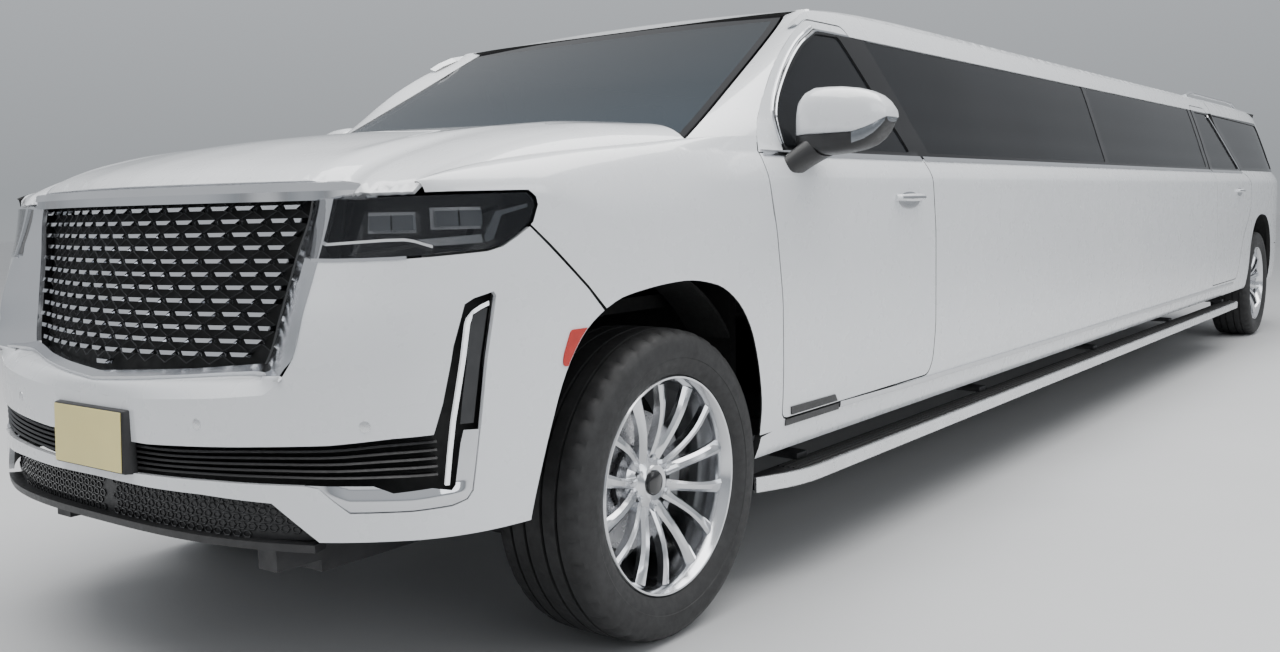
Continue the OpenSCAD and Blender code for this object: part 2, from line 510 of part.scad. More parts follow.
frame_rails();
floor_pan();
engine_block();
front_suspension();
rear_axle();
fuel_tank();
exhaust();
front_fenders();
stretch_sides();
quarter_panels();
roof_panel();
cowl();
dashboard();
steering_wheel();
seats();
windshield();
side_windows();
grille();
front_bumper();
front_lamps();
rear_bumper();
tail_lamps();
running_boards();
wheel_liners();
hood();
liftgate();
liftgate_glass();
front_door_left();
front_door_right();
rear_door_left();
rear_door_right();
front_glass_left();
front_glass_right();
rear_glass_left();
rear_glass_right();
knuckle_left();
knuckle_right();
front_rim_left();
front_rim_right();
rear_rim_left();
rear_rim_right();
front_tyre_left();
front_tyre_right();
rear_tyre_left();
rear_tyre_right();
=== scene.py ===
import sys
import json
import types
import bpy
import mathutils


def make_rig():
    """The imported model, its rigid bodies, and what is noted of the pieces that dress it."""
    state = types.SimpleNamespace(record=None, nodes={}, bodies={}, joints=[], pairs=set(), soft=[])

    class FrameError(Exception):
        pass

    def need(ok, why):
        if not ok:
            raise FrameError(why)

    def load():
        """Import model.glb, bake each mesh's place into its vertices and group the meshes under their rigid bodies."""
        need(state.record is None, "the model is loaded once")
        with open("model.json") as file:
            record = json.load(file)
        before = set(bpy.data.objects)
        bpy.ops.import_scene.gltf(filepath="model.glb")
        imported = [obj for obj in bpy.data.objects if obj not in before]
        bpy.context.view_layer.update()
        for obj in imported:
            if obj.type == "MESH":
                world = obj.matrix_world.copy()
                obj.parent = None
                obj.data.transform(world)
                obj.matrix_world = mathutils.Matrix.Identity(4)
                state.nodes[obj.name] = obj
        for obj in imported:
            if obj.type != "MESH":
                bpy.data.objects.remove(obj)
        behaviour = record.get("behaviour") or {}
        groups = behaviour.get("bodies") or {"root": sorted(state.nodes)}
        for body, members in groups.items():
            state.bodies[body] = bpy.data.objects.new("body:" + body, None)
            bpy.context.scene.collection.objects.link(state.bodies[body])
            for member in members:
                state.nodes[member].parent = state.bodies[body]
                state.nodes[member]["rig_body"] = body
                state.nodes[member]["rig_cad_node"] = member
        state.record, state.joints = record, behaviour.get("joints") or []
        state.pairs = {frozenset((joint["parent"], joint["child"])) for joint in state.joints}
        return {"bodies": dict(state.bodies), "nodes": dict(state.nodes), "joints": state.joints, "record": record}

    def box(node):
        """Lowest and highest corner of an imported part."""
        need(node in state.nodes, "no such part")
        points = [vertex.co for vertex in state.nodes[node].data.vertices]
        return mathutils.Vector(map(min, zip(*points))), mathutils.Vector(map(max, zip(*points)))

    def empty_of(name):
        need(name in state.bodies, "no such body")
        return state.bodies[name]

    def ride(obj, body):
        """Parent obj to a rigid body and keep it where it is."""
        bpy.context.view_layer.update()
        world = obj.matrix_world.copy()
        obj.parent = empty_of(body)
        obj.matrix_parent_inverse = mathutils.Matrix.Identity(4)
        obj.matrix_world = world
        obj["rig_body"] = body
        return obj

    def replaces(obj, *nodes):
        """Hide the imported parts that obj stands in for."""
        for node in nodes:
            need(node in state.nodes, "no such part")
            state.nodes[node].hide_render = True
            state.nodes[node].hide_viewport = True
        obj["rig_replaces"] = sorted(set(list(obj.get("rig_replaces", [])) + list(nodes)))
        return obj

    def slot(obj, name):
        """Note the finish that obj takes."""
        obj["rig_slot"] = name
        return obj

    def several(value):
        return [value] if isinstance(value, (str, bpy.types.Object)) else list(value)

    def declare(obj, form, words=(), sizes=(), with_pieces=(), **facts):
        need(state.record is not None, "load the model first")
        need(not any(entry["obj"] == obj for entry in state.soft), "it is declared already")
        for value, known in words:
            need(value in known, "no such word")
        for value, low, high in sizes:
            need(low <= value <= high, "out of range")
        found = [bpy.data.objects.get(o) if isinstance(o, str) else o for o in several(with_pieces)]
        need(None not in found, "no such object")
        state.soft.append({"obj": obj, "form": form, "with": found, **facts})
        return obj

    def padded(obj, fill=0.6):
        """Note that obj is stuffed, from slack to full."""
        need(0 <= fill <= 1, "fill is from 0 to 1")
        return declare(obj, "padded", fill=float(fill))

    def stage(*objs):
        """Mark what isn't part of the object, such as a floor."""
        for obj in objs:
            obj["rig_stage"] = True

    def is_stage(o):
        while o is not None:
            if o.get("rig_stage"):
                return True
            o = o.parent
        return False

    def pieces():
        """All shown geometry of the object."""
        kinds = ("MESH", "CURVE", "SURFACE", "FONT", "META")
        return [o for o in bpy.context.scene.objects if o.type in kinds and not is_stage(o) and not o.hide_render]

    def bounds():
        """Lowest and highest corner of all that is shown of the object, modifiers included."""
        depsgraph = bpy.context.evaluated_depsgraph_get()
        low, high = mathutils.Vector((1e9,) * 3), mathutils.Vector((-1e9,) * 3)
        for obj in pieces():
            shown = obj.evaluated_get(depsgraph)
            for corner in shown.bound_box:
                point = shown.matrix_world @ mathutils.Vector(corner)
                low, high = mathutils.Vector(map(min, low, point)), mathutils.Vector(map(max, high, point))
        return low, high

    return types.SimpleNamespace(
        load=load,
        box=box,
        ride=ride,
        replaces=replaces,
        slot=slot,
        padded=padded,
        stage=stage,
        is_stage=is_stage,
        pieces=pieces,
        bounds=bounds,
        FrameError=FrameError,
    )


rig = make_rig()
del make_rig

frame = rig.load()
CAD_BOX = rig.bounds()
import bpy, bmesh, math, json
import numpy as np
from mathutils import Vector, Matrix, geometry

_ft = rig.box("front_tyre_left"); _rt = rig.box("rear_tyre_left")
XF = (_ft[0][0]+_ft[1][0])/2         # front axle
WB = XF-(_rt[0][0]+_rt[1][0])/2      # wheelbase
HZ = (_ft[0][2]+_ft[1][2])/2         # hub height
HY = (_ft[0][1]+_ft[1][1])/2         # wheel centre plane
TR = (_ft[1][2]-_ft[0][2])/2         # tyre radius
DZ = WB-8.151                        # everything aft moves with the wheelbase

# ------------------------------------------------------------------ materials
def _new(name):
    m = bpy.data.materials.new(name); m.use_nodes = True
    nt = m.node_tree
    for n in list(nt.nodes): nt.nodes.remove(n)
    out = nt.nodes.new("ShaderNodeOutputMaterial")
    b = nt.nodes.new("ShaderNodeBsdfPrincipled")
    nt.links.new(b.outputs[0], out.inputs[0])
    return m, nt, b
def _tex(nt, kind, scale, detail=3.0, rough=0.55, obj=True, vec=None):
    t = nt.nodes.new({"noise": "ShaderNodeTexNoise", "voronoi": "ShaderNodeTexVoronoi", "wave": "ShaderNodeTexWave"}[kind])
    t.inputs["Scale"].default_value = scale
    if kind == "noise": t.inputs["Detail"].default_value = detail; t.inputs["Roughness"].default_value = rough
    if vec is None:
        c = nt.nodes.new("ShaderNodeTexCoord"); vec = c.outputs["Object"]
    nt.links.new(vec, t.inputs["Vector"])
    return t
def _ramp(nt, src, stops):
    r = nt.nodes.new("ShaderNodeValToRGB")
    e = r.color_ramp.elements
    while len(e) > 1: e.remove(e[-1])
    e[0].position = stops[0][0]; e[0].color = (*stops[0][1], 1)
    for p, c in stops[1:]:
        k = e.new(p); k.color = (*c, 1)
    nt.links.new(src, r.inputs[0])
    return r
def _map(nt, src, lo, hi, a=0.0, b=1.0):
    m = nt.nodes.new("ShaderNodeMapRange")
    m.inputs["From Min"].default_value = a; m.inputs["From Max"].default_value = b
    m.inputs["To Min"].default_value = lo; m.inputs["To Max"].default_value = hi
    nt.links.new(src, m.inputs["Value"])
    return m
def _bump(nt, b, src, strength, dist):
    k = nt.nodes.new("ShaderNodeBump"); k.inputs["Strength"].default_value = strength; k.inputs["Distance"].default_value = dist
    nt.links.new(src, k.inputs["Height"]); nt.links.new(k.outputs[0], b.inputs["Normal"])
    return k
def mat(name, col, rough=0.5, metal=0.0, var=0.06, vscale=6.0, rvar=0.08, bump=0.0, bscale=200.0, bdist=0.0006, coat=0.0, coat_r=0.03,
        alpha=None, spec=0.5, emit=None, es=0.0, trans=0.0, ior=1.5, sheen=0.0):
    """A finished surface: colour and roughness vary with noise, with a fine bump."""
    m, nt, b = _new(name)
    n = _tex(nt, "noise", vscale, 4.0)
    c = np.array(col[:3], float)
    lo = tuple(np.clip(c*(1-var), 0, 1)); hi = tuple(np.clip(c*(1+var)+var*0.01, 0, 1))
    r = _ramp(nt, n.outputs["Fac"], [(0.3, lo), (0.7, hi)])
    nt.links.new(r.outputs[0], b.inputs["Base Color"])
    n2 = _tex(nt, "noise", vscale*3.1, 5.0)
    mr = _map(nt, n2.outputs["Fac"], max(rough-rvar, 0.01), min(rough+rvar, 1.0), 0.3, 0.7)
    nt.links.new(mr.outputs[0], b.inputs["Roughness"])
    b.inputs["Metallic"].default_value = metal
    b.inputs["Specular IOR Level"].default_value = spec
    b.inputs["IOR"].default_value = ior
    if coat: b.inputs["Coat Weight"].default_value = coat; b.inputs["Coat Roughness"].default_value = coat_r
    if trans: b.inputs["Transmission Weight"].default_value = trans
    if sheen: b.inputs["Sheen Weight"].default_value = sheen
    if bump:
        n3 = _tex(nt, "noise", bscale, 3.0)
        _bump(nt, b, n3.outputs["Fac"], bump, bdist)
    if alpha is not None: b.inputs["Alpha"].default_value = alpha
    if emit is not None: b.inputs["Emission Color"].default_value = (*emit, 1); b.inputs["Emission Strength"].default_value = es
    m.diffuse_color = (*col[:3], 1)
    return m

M = {}
def make_materials():
    # pearl white paint: a clear coat over a slightly warm white with a very fine flake
    m, nt, b = _new("white_paint")
    n = _tex(nt, "noise", 1.6, 4.0)
    r = _ramp(nt, n.outputs["Fac"], [(0.30, (0.770, 0.785, 0.800)), (0.70, (0.800, 0.812, 0.826))])
    fl = _tex(nt, "voronoi", 2600.0)
    fr = _ramp(nt, fl.outputs["Distance"], [(0.0, (1.0, 1.0, 1.0)), (0.5, (0.965, 0.97, 0.98))])
    mx = nt.nodes.new("ShaderNodeMixRGB"); mx.blend_type = "MULTIPLY"; mx.inputs[0].default_value = 1.0
    nt.links.new(r.outputs[0], mx.inputs[1]); nt.links.new(fr.outputs[0], mx.inputs[2])
    nt.links.new(mx.outputs[0], b.inputs["Base Color"])
    n2 = _tex(nt, "noise", 9.0, 4.0)
    mr = _map(nt, n2.outputs["Fac"], 0.24, 0.32, 0.3, 0.7); nt.links.new(mr.outputs[0], b.inputs["Roughness"])
    b.inputs["Coat Weight"].default_value = 1.0; b.inputs["Coat Roughness"].default_value = 0.015; b.inputs["Coat IOR"].default_value = 1.6
    b.inputs["Specular IOR Level"].default_value = 0.6
    o = _tex(nt, "noise", 90.0, 2.0); _bump(nt, b, o.outputs["Fac"], 0.006, 0.0004)
    m.diffuse_color = (0.8, 0.81, 0.82, 1); M["white"] = m
    M["chrome"] = mat("chrome_trim", (0.66, 0.67, 0.69), 0.055, 1.0, 0.02, 4.0, 0.025, 0.01, 60.0)
    M["satin_chrome"] = mat("satin_chrome", (0.70, 0.71, 0.73), 0.22, 1.0, 0.03, 8.0, 0.05)
    M["black_gloss"] = mat("piano_black", (0.008, 0.008, 0.009), 0.08, 0.0, 0.15, 5.0, 0.03, coat=0.6)
    M["black_plastic"] = mat("black_plastic", (0.018, 0.018, 0.019), 0.42, 0.0, 0.2, 30.0, 0.08, 0.25, 900.0, 0.0004)
    M["black_matte"] = mat("black_matte", (0.012, 0.012, 0.012), 0.72, 0.0, 0.25, 12.0, 0.1, 0.3, 500.0, 0.0005)
    M["liner"] = mat("wheelhouse_felt", (0.013, 0.013, 0.013), 0.9, 0.0, 0.3, 40.0, 0.06, 0.6, 260.0, 0.0015)
    M["rubber_seal"] = mat("rubber_seal", (0.012, 0.012, 0.012), 0.6, 0.0, 0.2, 60.0, 0.08, 0.2, 800.0)
    M["chassis"] = mat("chassis_coat", (0.022, 0.022, 0.024), 0.5, 0.0, 0.35, 7.0, 0.12, 0.3, 120.0, 0.0012)
    M["floor_under"] = mat("underbody_coat", (0.03, 0.03, 0.031), 0.75, 0.0, 0.3, 9.0, 0.1, 0.5, 180.0, 0.0015)
    M["cast"] = mat("cast_alloy", (0.36, 0.365, 0.37), 0.48, 0.9, 0.18, 14.0, 0.1, 0.4, 240.0, 0.0012)
    M["steel"] = mat("exhaust_steel", (0.33, 0.31, 0.29), 0.34, 1.0, 0.25, 5.0, 0.12, 0.2, 90.0)
    M["chrome_soft"] = mat("chrome_moulding", (0.64, 0.65, 0.67), 0.17, 1.0, 0.02, 4.0, 0.04, 0.01, 60.0)
    M["lamp_inner"] = mat("lamp_module", (0.20, 0.215, 0.235), 0.16, 0.55, 0.08, 20.0, 0.04, 0.1, 400.0, coat=0.5)
    M["wire"] = mat("grille_wire", (0.055, 0.056, 0.058), 0.35, 0.6, 0.1, 20.0, 0.05)
    M["disc"] = mat("brake_disc", (0.42, 0.42, 0.43), 0.3, 1.0, 0.1, 20.0, 0.1, 0.3, 400.0)
    M["knuckle"] = mat("cast_knuckle", (0.11, 0.11, 0.115), 0.55, 0.8, 0.25, 20.0, 0.1, 0.4, 200.0, 0.001)
    # machined and polished wheel alloy
    M["alloy"] = mat("wheel_alloy", (0.70, 0.71, 0.73), 0.17, 1.0, 0.04, 10.0, 0.04, 0.02, 300.0, coat=0.5, coat_r=0.05)
    M["alloy_dark"] = mat("wheel_alloy_pocket", (0.30, 0.305, 0.315), 0.32, 0.9, 0.08, 12.0, 0.06, 0.05, 300.0, coat=0.3)
    M["tyre"] = mat("tyre_rubber", (0.016, 0.016, 0.0165), 0.62, 0.0, 0.25, 18.0, 0.1, 0.25, 420.0, 0.0005)
    M["leather"] = mat("black_leather", (0.030, 0.029, 0.030), 0.42, 0.0, 0.25, 9.0, 0.08, 0.45, 340.0, 0.0009, sheen=0.05)
    M["leather_grey"] = mat("grey_leather", (0.16, 0.155, 0.15), 0.45, 0.0, 0.15, 9.0, 0.08, 0.45, 340.0, 0.0009)
    M["trim_soft"] = mat("soft_trim", (0.035, 0.035, 0.038), 0.62, 0.0, 0.2, 14.0, 0.08, 0.4, 600.0, 0.0005)
    M["headliner"] = mat("headliner_cloth", (0.28, 0.275, 0.27), 0.92, 0.0, 0.08, 30.0, 0.05, 0.5, 900.0, 0.0006, sheen=0.2)
    M["carpet"] = mat("carpet", (0.028, 0.027, 0.027), 0.95, 0.0, 0.35, 90.0, 0.04, 0.9, 500.0, 0.003, sheen=0.2)
    M["wood"] = mat("dark_wood_trim", (0.085, 0.045, 0.025), 0.18, 0.0, 0.35, 7.0, 0.05, 0.1, 90.0, coat=0.8)
    # privacy glass: nearly black, a little of the cabin shows
    M["glass_dark"] = mat("privacy_glass", (0.011, 0.012, 0.014), 0.018, 0.0, 0.1, 2.0, 0.006, alpha=0.90, spec=0.5, ior=1.22)
    M["ceramic"] = mat("black_ceramic_band", (0.008, 0.008, 0.009), 0.05, 0.0, 0.1, 4.0, 0.01, spec=0.5, ior=1.28)
    # windscreen: pale blue sun band at the head, clear below
    m, nt, b = _new("windscreen_glass")
    c = nt.nodes.new("ShaderNodeTexCoord"); sp = nt.nodes.new("ShaderNodeSeparateXYZ"); nt.links.new(c.outputs["Object"], sp.inputs[0])
    n = _tex(nt, "noise", 2.2, 3.0); ad = nt.nodes.new("ShaderNodeMath"); ad.operation = "MULTIPLY_ADD"; ad.inputs[1].default_value = 0.05
    nt.links.new(n.outputs["Fac"], ad.inputs[0]); nt.links.new(sp.outputs["Z"], ad.inputs[2])
    rr = _ramp(nt, _map(nt, ad.outputs[0], 0.0, 1.0, 1.34, 1.84).outputs[0], [(0.0, (0.030, 0.045, 0.060)), (0.55, (0.022, 0.030, 0.038)), (1.0, (0.010, 0.013, 0.016))])
    nt.links.new(rr.outputs[0], b.inputs["Base Color"])
    al = _map(nt, ad.outputs[0], 0.62, 0.90, 1.55, 1.84); nt.links.new(al.outputs[0], b.inputs["Alpha"])
    b.inputs["Roughness"].default_value = 0.012; b.inputs["IOR"].default_value = 1.42
    M["glass_front"] = m
    M["lens"] = mat("lamp_lens", (0.030, 0.032, 0.036), 0.02, 0.0, 0.05, 5.0, 0.01, alpha=0.26, spec=0.5, ior=1.34)
    M["lens_red"] = mat("red_lens", (0.42, 0.008, 0.010), 0.06, 0.0, 0.12, 20.0, 0.02, 0.2, 500.0, alpha=0.92, coat=1.0)
    M["lens_orange"] = mat("orange_lens", (0.46, 0.012, 0.004), 0.14, 0.0, 0.12, 40.0, 0.03, 0.3, 500.0, coat=0.4)
    M["reflector"] = mat("lamp_reflector", (0.80, 0.81, 0.83), 0.10, 1.0, 0.04, 9.0, 0.04, 0.05, 200.0)
    M["led"] = mat("led_strip", (0.92, 0.94, 0.97), 0.25, 0.0, 0.02, 9.0, 0.03, emit=(0.95, 0.98, 1.0), es=0.55)
    M["led_dim"] = mat("led_guide", (0.62, 0.68, 0.74), 0.15, 0.0, 0.04, 9.0, 0.03, coat=1.0)
    M["plate"] = mat("blank_plate", (0.80, 0.70, 0.30), 0.38, 0.0, 0.04, 6.0, 0.05, 0.08, 160.0)
    M["silver_edge"] = mat("brushed_step_edge", (0.78, 0.79, 0.80), 0.25, 0.85, 0.05, 10.0, 0.06, 0.06, 200.0)
    M["screen"] = mat("display_glass", (0.006, 0.007, 0.010), 0.05, 0.0, 0.1, 5.0, 0.01, coat=1.0)
make_materials()

# ------------------------------------------------------------------ mesh helpers
PIECES = []
def add(name, verts, faces, material, body="root", slot=None, normals=None, smooth_deg=None, flat=False, mats=None, fmat=None):
    """A mesh in row coordinates, riding on a body. normals: one per vertex, or None."""
    me = bpy.data.meshes.new(name)
    v = np.asarray(verts, float)
    me.from_pydata([tuple(p) for p in v], [], [tuple(int(i) for i in f) for f in faces])
    me.validate(clean_customdata=False)
    o = bpy.data.objects.new(name, me); bpy.context.scene.collection.objects.link(o)
    for k in (mats or [material]): me.materials.append(M[k] if isinstance(k, str) else k)
    if fmat is not None and len(fmat) == len(me.polygons): me.polygons.foreach_set("material_index", np.asarray(fmat, np.int32))
    if not flat: me.polygons.foreach_set("use_smooth", np.ones(len(me.polygons), bool))
    if normals is not None: me.normals_split_custom_set_from_vertices([tuple(n) for n in np.asarray(normals, float)])
    elif smooth_deg is not None and not flat:
        me.set_sharp_from_angle(angle=math.radians(smooth_deg))
    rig.ride(o, body)
    if slot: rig.slot(o, slot)
    PIECES.append(o)
    return o
def from_bm(name, bm, material, body="root", slot=None, smooth_deg=35, mats=None):
    me = bpy.data.meshes.new(name); bm.normal_update(); bm.to_mesh(me); bm.free()
    o = bpy.data.objects.new(name, me); bpy.context.scene.collection.objects.link(o)
    for k in (mats or [material]): me.materials.append(M[k] if isinstance(k, str) else k)
    me.polygons.foreach_set("use_smooth", np.ones(len(me.polygons), bool))
    me.set_sharp_from_angle(angle=math.radians(smooth_deg))
    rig.ride(o, body)
    if slot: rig.slot(o, slot)
    PIECES.append(o)
    return o
def bake_mods(o):
    dg = bpy.context.evaluated_depsgraph_get(); e = o.evaluated_get(dg)
    me = bpy.data.meshes.new_from_object(e, preserve_all_data_layers=True, depsgraph=dg)
    old = o.data; o.modifiers.clear(); o.data = me; bpy.data.meshes.remove(old)
def bevel(o, w, seg=2, ang=30):
    m = o.modifiers.new("b", "BEVEL"); m.width = w; m.segments = seg; m.limit_method = "ANGLE"; m.angle_limit = math.radians(ang); m.harden_normals = False
    bake_mods(o); o.data.set_sharp_from_angle(angle=math.radians(40)); return o
class Bag:
    """Collects many small closed shapes into one mesh."""
    def __init__(self): self.v = []; self.f = []; self.m = []; self.n = 0
    def put(self, v, f, m=0):
        v = np.asarray(v, float)
        self.v.append(v); self.f += [tuple(i+self.n for i in q) for q in f]; self.m += [m]*len(f); self.n += len(v)
    def box(self, lo, hi, m=0):
        (a, b, c), (d, e, g) = lo, hi
        v = [(a,b,c),(d,b,c),(d,e,c),(a,e,c),(a,b,g),(d,b,g),(d,e,g),(a,e,g)]
        self.put(v, [(0,3,2,1),(4,5,6,7),(0,1,5,4),(1,2,6,5),(2,3,7,6),(3,0,4,7)], m)
    def hexa(self, bot, top, m=0):
        """Eight corners: four of one end, four of the other, in matching order."""
        v = list(bot)+list(top)
        self.put(v, [(0,3,2,1),(4,5,6,7),(0,1,5,4),(1,2,6,5),(2,3,7,6),(3,0,4,7)], m)
    def tube(self, pts, r, n=10, m=0, caps=True, closed=False, flat=None):
        """Round bar along points. r: one radius or one per point; flat: (wide, high) scale."""
        p = np.asarray(pts, float); k = len(p); rr = np.full(k, r, float) if np.isscalar(r) else np.asarray(r, float)
        d = np.gradient(p, axis=0) if not closed else (np.roll(p, -1, 0)-np.roll(p, 1, 0))
        d /= np.linalg.norm(d, axis=1)[:, None]
        up = np.array([0, 0, 1.0]) if abs(d[0][2]) < 0.9 else np.array([1.0, 0, 0])
        u = np.cross(up, d[0]); u /= np.linalg.norm(u)
        rings = []
        for i in range(k):
            u = u-d[i]*np.dot(u, d[i]); u /= np.linalg.norm(u); w = np.cross(d[i], u)
            t = np.linspace(0, 2*np.pi, n, endpoint=False)
            fx, fy = flat if flat else (1, 1)
            rings.append(p[i]+rr[i]*(np.cos(t)[:, None]*u*fx+np.sin(t)[:, None]*w*fy))
        v = np.concatenate(rings); f = []
        kk = k if closed else k-1
        for i in range(kk):
            a, b = i*n, ((i+1) % k)*n
            for j in range(n): f.append((a+j, a+(j+1) % n, b+(j+1) % n, b+j))
        if caps and not closed: f.append(tuple(range(n-1, -1, -1))); f.append(tuple((k-1)*n+j for j in range(n)))
        self.put(v, f, m)
    def revolve(self, prof, origin, axis="y", n=48, m=0, sgn=1.0, closed=True):
        """Closed (r, h) outline turned round an axis through origin."""
        p = np.asarray(prof, float); k = len(p); t = np.linspace(0, 2*np.pi, n, endpoint=False)
        v = []
        for a in t:
            c, s = np.cos(a), np.sin(a)
            if axis == "y": q = np.c_[p[:, 0]*c, sgn*p[:, 1], p[:, 0]*s]
            elif axis == "z": q = np.c_[p[:, 0]*c, p[:, 0]*s, p[:, 1]]
            else: q = np.c_[p[:, 1], p[:, 0]*c, p[:, 0]*s]
            v.append(q+np.asarray(origin, float))
        v = np.concatenate(v); f = []
        for i in range(n):
            a, b = i*k, ((i+1) % n)*k
            for j in range(k if closed else k-1):
                f.append((a+j, a+(j+1) % k, b+(j+1) % k, b+j))
        self.put(v, f, m)
    def done(self, name, mats, body="root", slot=None, smooth_deg=35, flat=False):
        bm = bmesh.new()
        me = bpy.data.meshes.new(name)
        v = np.concatenate(self.v)
        me.from_pydata([tuple(p) for p in v], [], self.f)
        me.polygons.foreach_set("material_index", np.asarray(self.m, np.int32))
        bm.from_mesh(me); bpy.data.meshes.remove(me)
        bmesh.ops.recalc_face_normals(bm, faces=bm.faces)
        return from_bm(name, bm, None, body, slot, smooth_deg, mats=mats)
def mirror_y(v): v = np.array(v, float); v[:, 1] *= -1; return v
# ------------------------------------------------------------------ surfaces
# All lengths in metres. "a" counts forward from the front axle, z up from the ground, y to the left.
def mono(xs, ys):
    """Smooth monotone curve through points; extends with its end values."""
    xs = np.asarray(xs, float); ys = np.asarray(ys, float)
    h = np.diff(xs); d = np.diff(ys)/h
    m = np.zeros(len(xs)); m[0] = d[0]; m[-1] = d[-1]
    for i in range(1, len(xs)-1):
        if d[i-1]*d[i] > 0:
            w1 = 2*h[i]+h[i-1]; w2 = h[i]+2*h[i-1]
            m[i] = (w1+w2)/(w1/d[i-1]+w2/d[i])
    def f(x):
        x = np.asarray(x, float); xc = np.clip(x, xs[0], xs[-1])
        i = np.clip(np.searchsorted(xs, xc)-1, 0, len(xs)-2)
        t = (xc-xs[i])/h[i]
        return ((2*t**3-3*t**2+1)*ys[i] + (t**3-2*t**2+t)*h[i]*m[i] + (-2*t**3+3*t**2)*ys[i+1] + (t**3-t**2)*h[i]*m[i+1])
    return f
def smooth(x, lo, hi):
    t = np.clip((np.asarray(x, float)-lo)/(hi-lo), 0, 1)
    return t*t*(3-2*t)
class Plan:
    """Smooth plan line through (a, y) points, read by its running length s."""
    def __init__(self, pts):
        p = np.asarray(pts, float)
        ch = np.r_[0, np.cumsum(np.sqrt(np.linalg.norm(np.diff(p, axis=0), axis=1)))]
        t = np.linspace(0, ch[-1], 4000)
        out = []
        n = len(p)
        m = np.zeros_like(p)
        for i in range(n):
            a, b = max(i-1, 0), min(i+1, n-1)
            m[i] = (p[b]-p[a])/(ch[b]-ch[a])
        if abs(p[0][1]) < 1e-9: m[0] = [0, m[0][1] if abs(m[0][1]) > 1e-6 else 1.0]
        if abs(p[-1][1]) < 1e-9: m[-1] = [0, m[-1][1]]
        i = np.clip(np.searchsorted(ch, t)-1, 0, n-2); h = (ch[i+1]-ch[i]); u = (t-ch[i])/h
        h = h[:, None]; u = u[:, None]
        q = (2*u**3-3*u**2+1)*p[i] + (u**3-2*u**2+u)*h*m[i] + (-2*u**3+3*u**2)*p[i+1] + (u**3-u**2)*h*m[i+1]
        self.s = np.r_[0, np.cumsum(np.linalg.norm(np.diff(q, axis=0), axis=1))]
        self.q = q
        d = np.gradient(q, axis=0); d /= np.linalg.norm(d, axis=1)[:, None]
        self.n = np.c_[d[:, 1], -d[:, 0]]           # outward on the left side
        if (self.n[len(self.n)//2][1]) < 0: self.n = -self.n
    def at(self, s):
        return np.stack([np.interp(s, self.s, self.q[:, 0]), np.interp(s, self.s, self.q[:, 1])], -1)
    def nrm(self, s):
        v = np.stack([np.interp(s, self.s, self.n[:, 0]), np.interp(s, self.s, self.n[:, 1])], -1)
        return v/np.linalg.norm(v, axis=-1)[..., None]
    def s_of_a(self, a):
        # side stretch only: a falls as s grows
        k = np.argmax(self.q[:, 1] > 0.55)
        return np.interp(-np.asarray(a, float), -self.q[k:, 0], self.s[k:])
    def s_of_y(self, y):
        k = np.argmax(self.q[:, 1] > 1.012) or len(self.q)-1
        return np.interp(y, self.q[:k, 1], self.s[:k])

NOSE = Plan([(1.030,0),(1.027,0.20),(1.014,0.36),(0.988,0.50),(0.950,0.62),(0.903,0.73),(0.848,0.82),(0.785,0.893),(0.700,0.948),(0.600,0.981),
             (0.480,1.002),(0.300,1.015),(0.100,1.0225),(-0.100,1.0265),(-0.530,1.0295),(-1.2,1.0295),(-2.0,1.0295)])
# side profile: inset from the reference half width 1.0295
G_SIDE = mono([0.400,0.412,0.430,0.460,0.500,0.520,0.560,0.620,0.680,0.740,0.850,0.950,1.050,1.150,1.205,1.224,1.245,1.270,1.290,1.305,1.320],
              [0.046,0.036,0.029,0.024,0.0185,0.0160,0.0115,0.0080,0.0058,0.0050,0.0035,0.0022,0.0012,0.0004,0.0001,0.0010,0.0070,0.0195,0.0320,0.0430,0.0475])
# body surface: inset of the nose near its top, leaning back above the bumper
_SY = NOSE.s_of_y
L_Z = mono([0.0,0.80,0.86,0.93,1.00,1.05,1.10,1.15,1.19,1.24,1.30],[0,0,0.004,0.016,0.040,0.059,0.080,0.098,0.110,0.124,0.140])
def W_S(s): return 1.0-0.93*smooth(s, 0.62, 1.16)
S_SIDE0, S_SIDE1 = 1.00, 1.50
def inset(s, z):
    w = smooth(s, S_SIDE0, S_SIDE1)
    return (1-w)*L_Z(z)*W_S(s) + w*G_SIDE(z)
def surf(s, z):
    """Point on the body skin at running length s and height z."""
    s = np.asarray(s, float); z = np.asarray(z, float)
    q = NOSE.at(s); n = NOSE.nrm(s); i = inset(s, z)
    return np.stack([q[..., 0]-n[..., 0]*i, q[..., 1]-n[..., 1]*i, z], -1)
# grille face leans back
XG0 = mono([0,0.15,0.30,0.50,0.60,0.72],[0.998,0.986,0.957,0.902,0.888,0.874])
def grille_x(y, z): return XG0(np.abs(y))-0.21*(np.asarray(z)-0.80)
# greenhouse half width at height z
Y_GH = mono([1.290,1.312,1.360,1.420,1.490,1.560,1.620,1.680,1.735,1.775,1.805,1.828,1.845],[0.990,0.9835,0.9695,0.9490,0.9275,0.9045,0.8850,0.8640,0.8430,0.8230,0.8020,0.7770,0.7450])
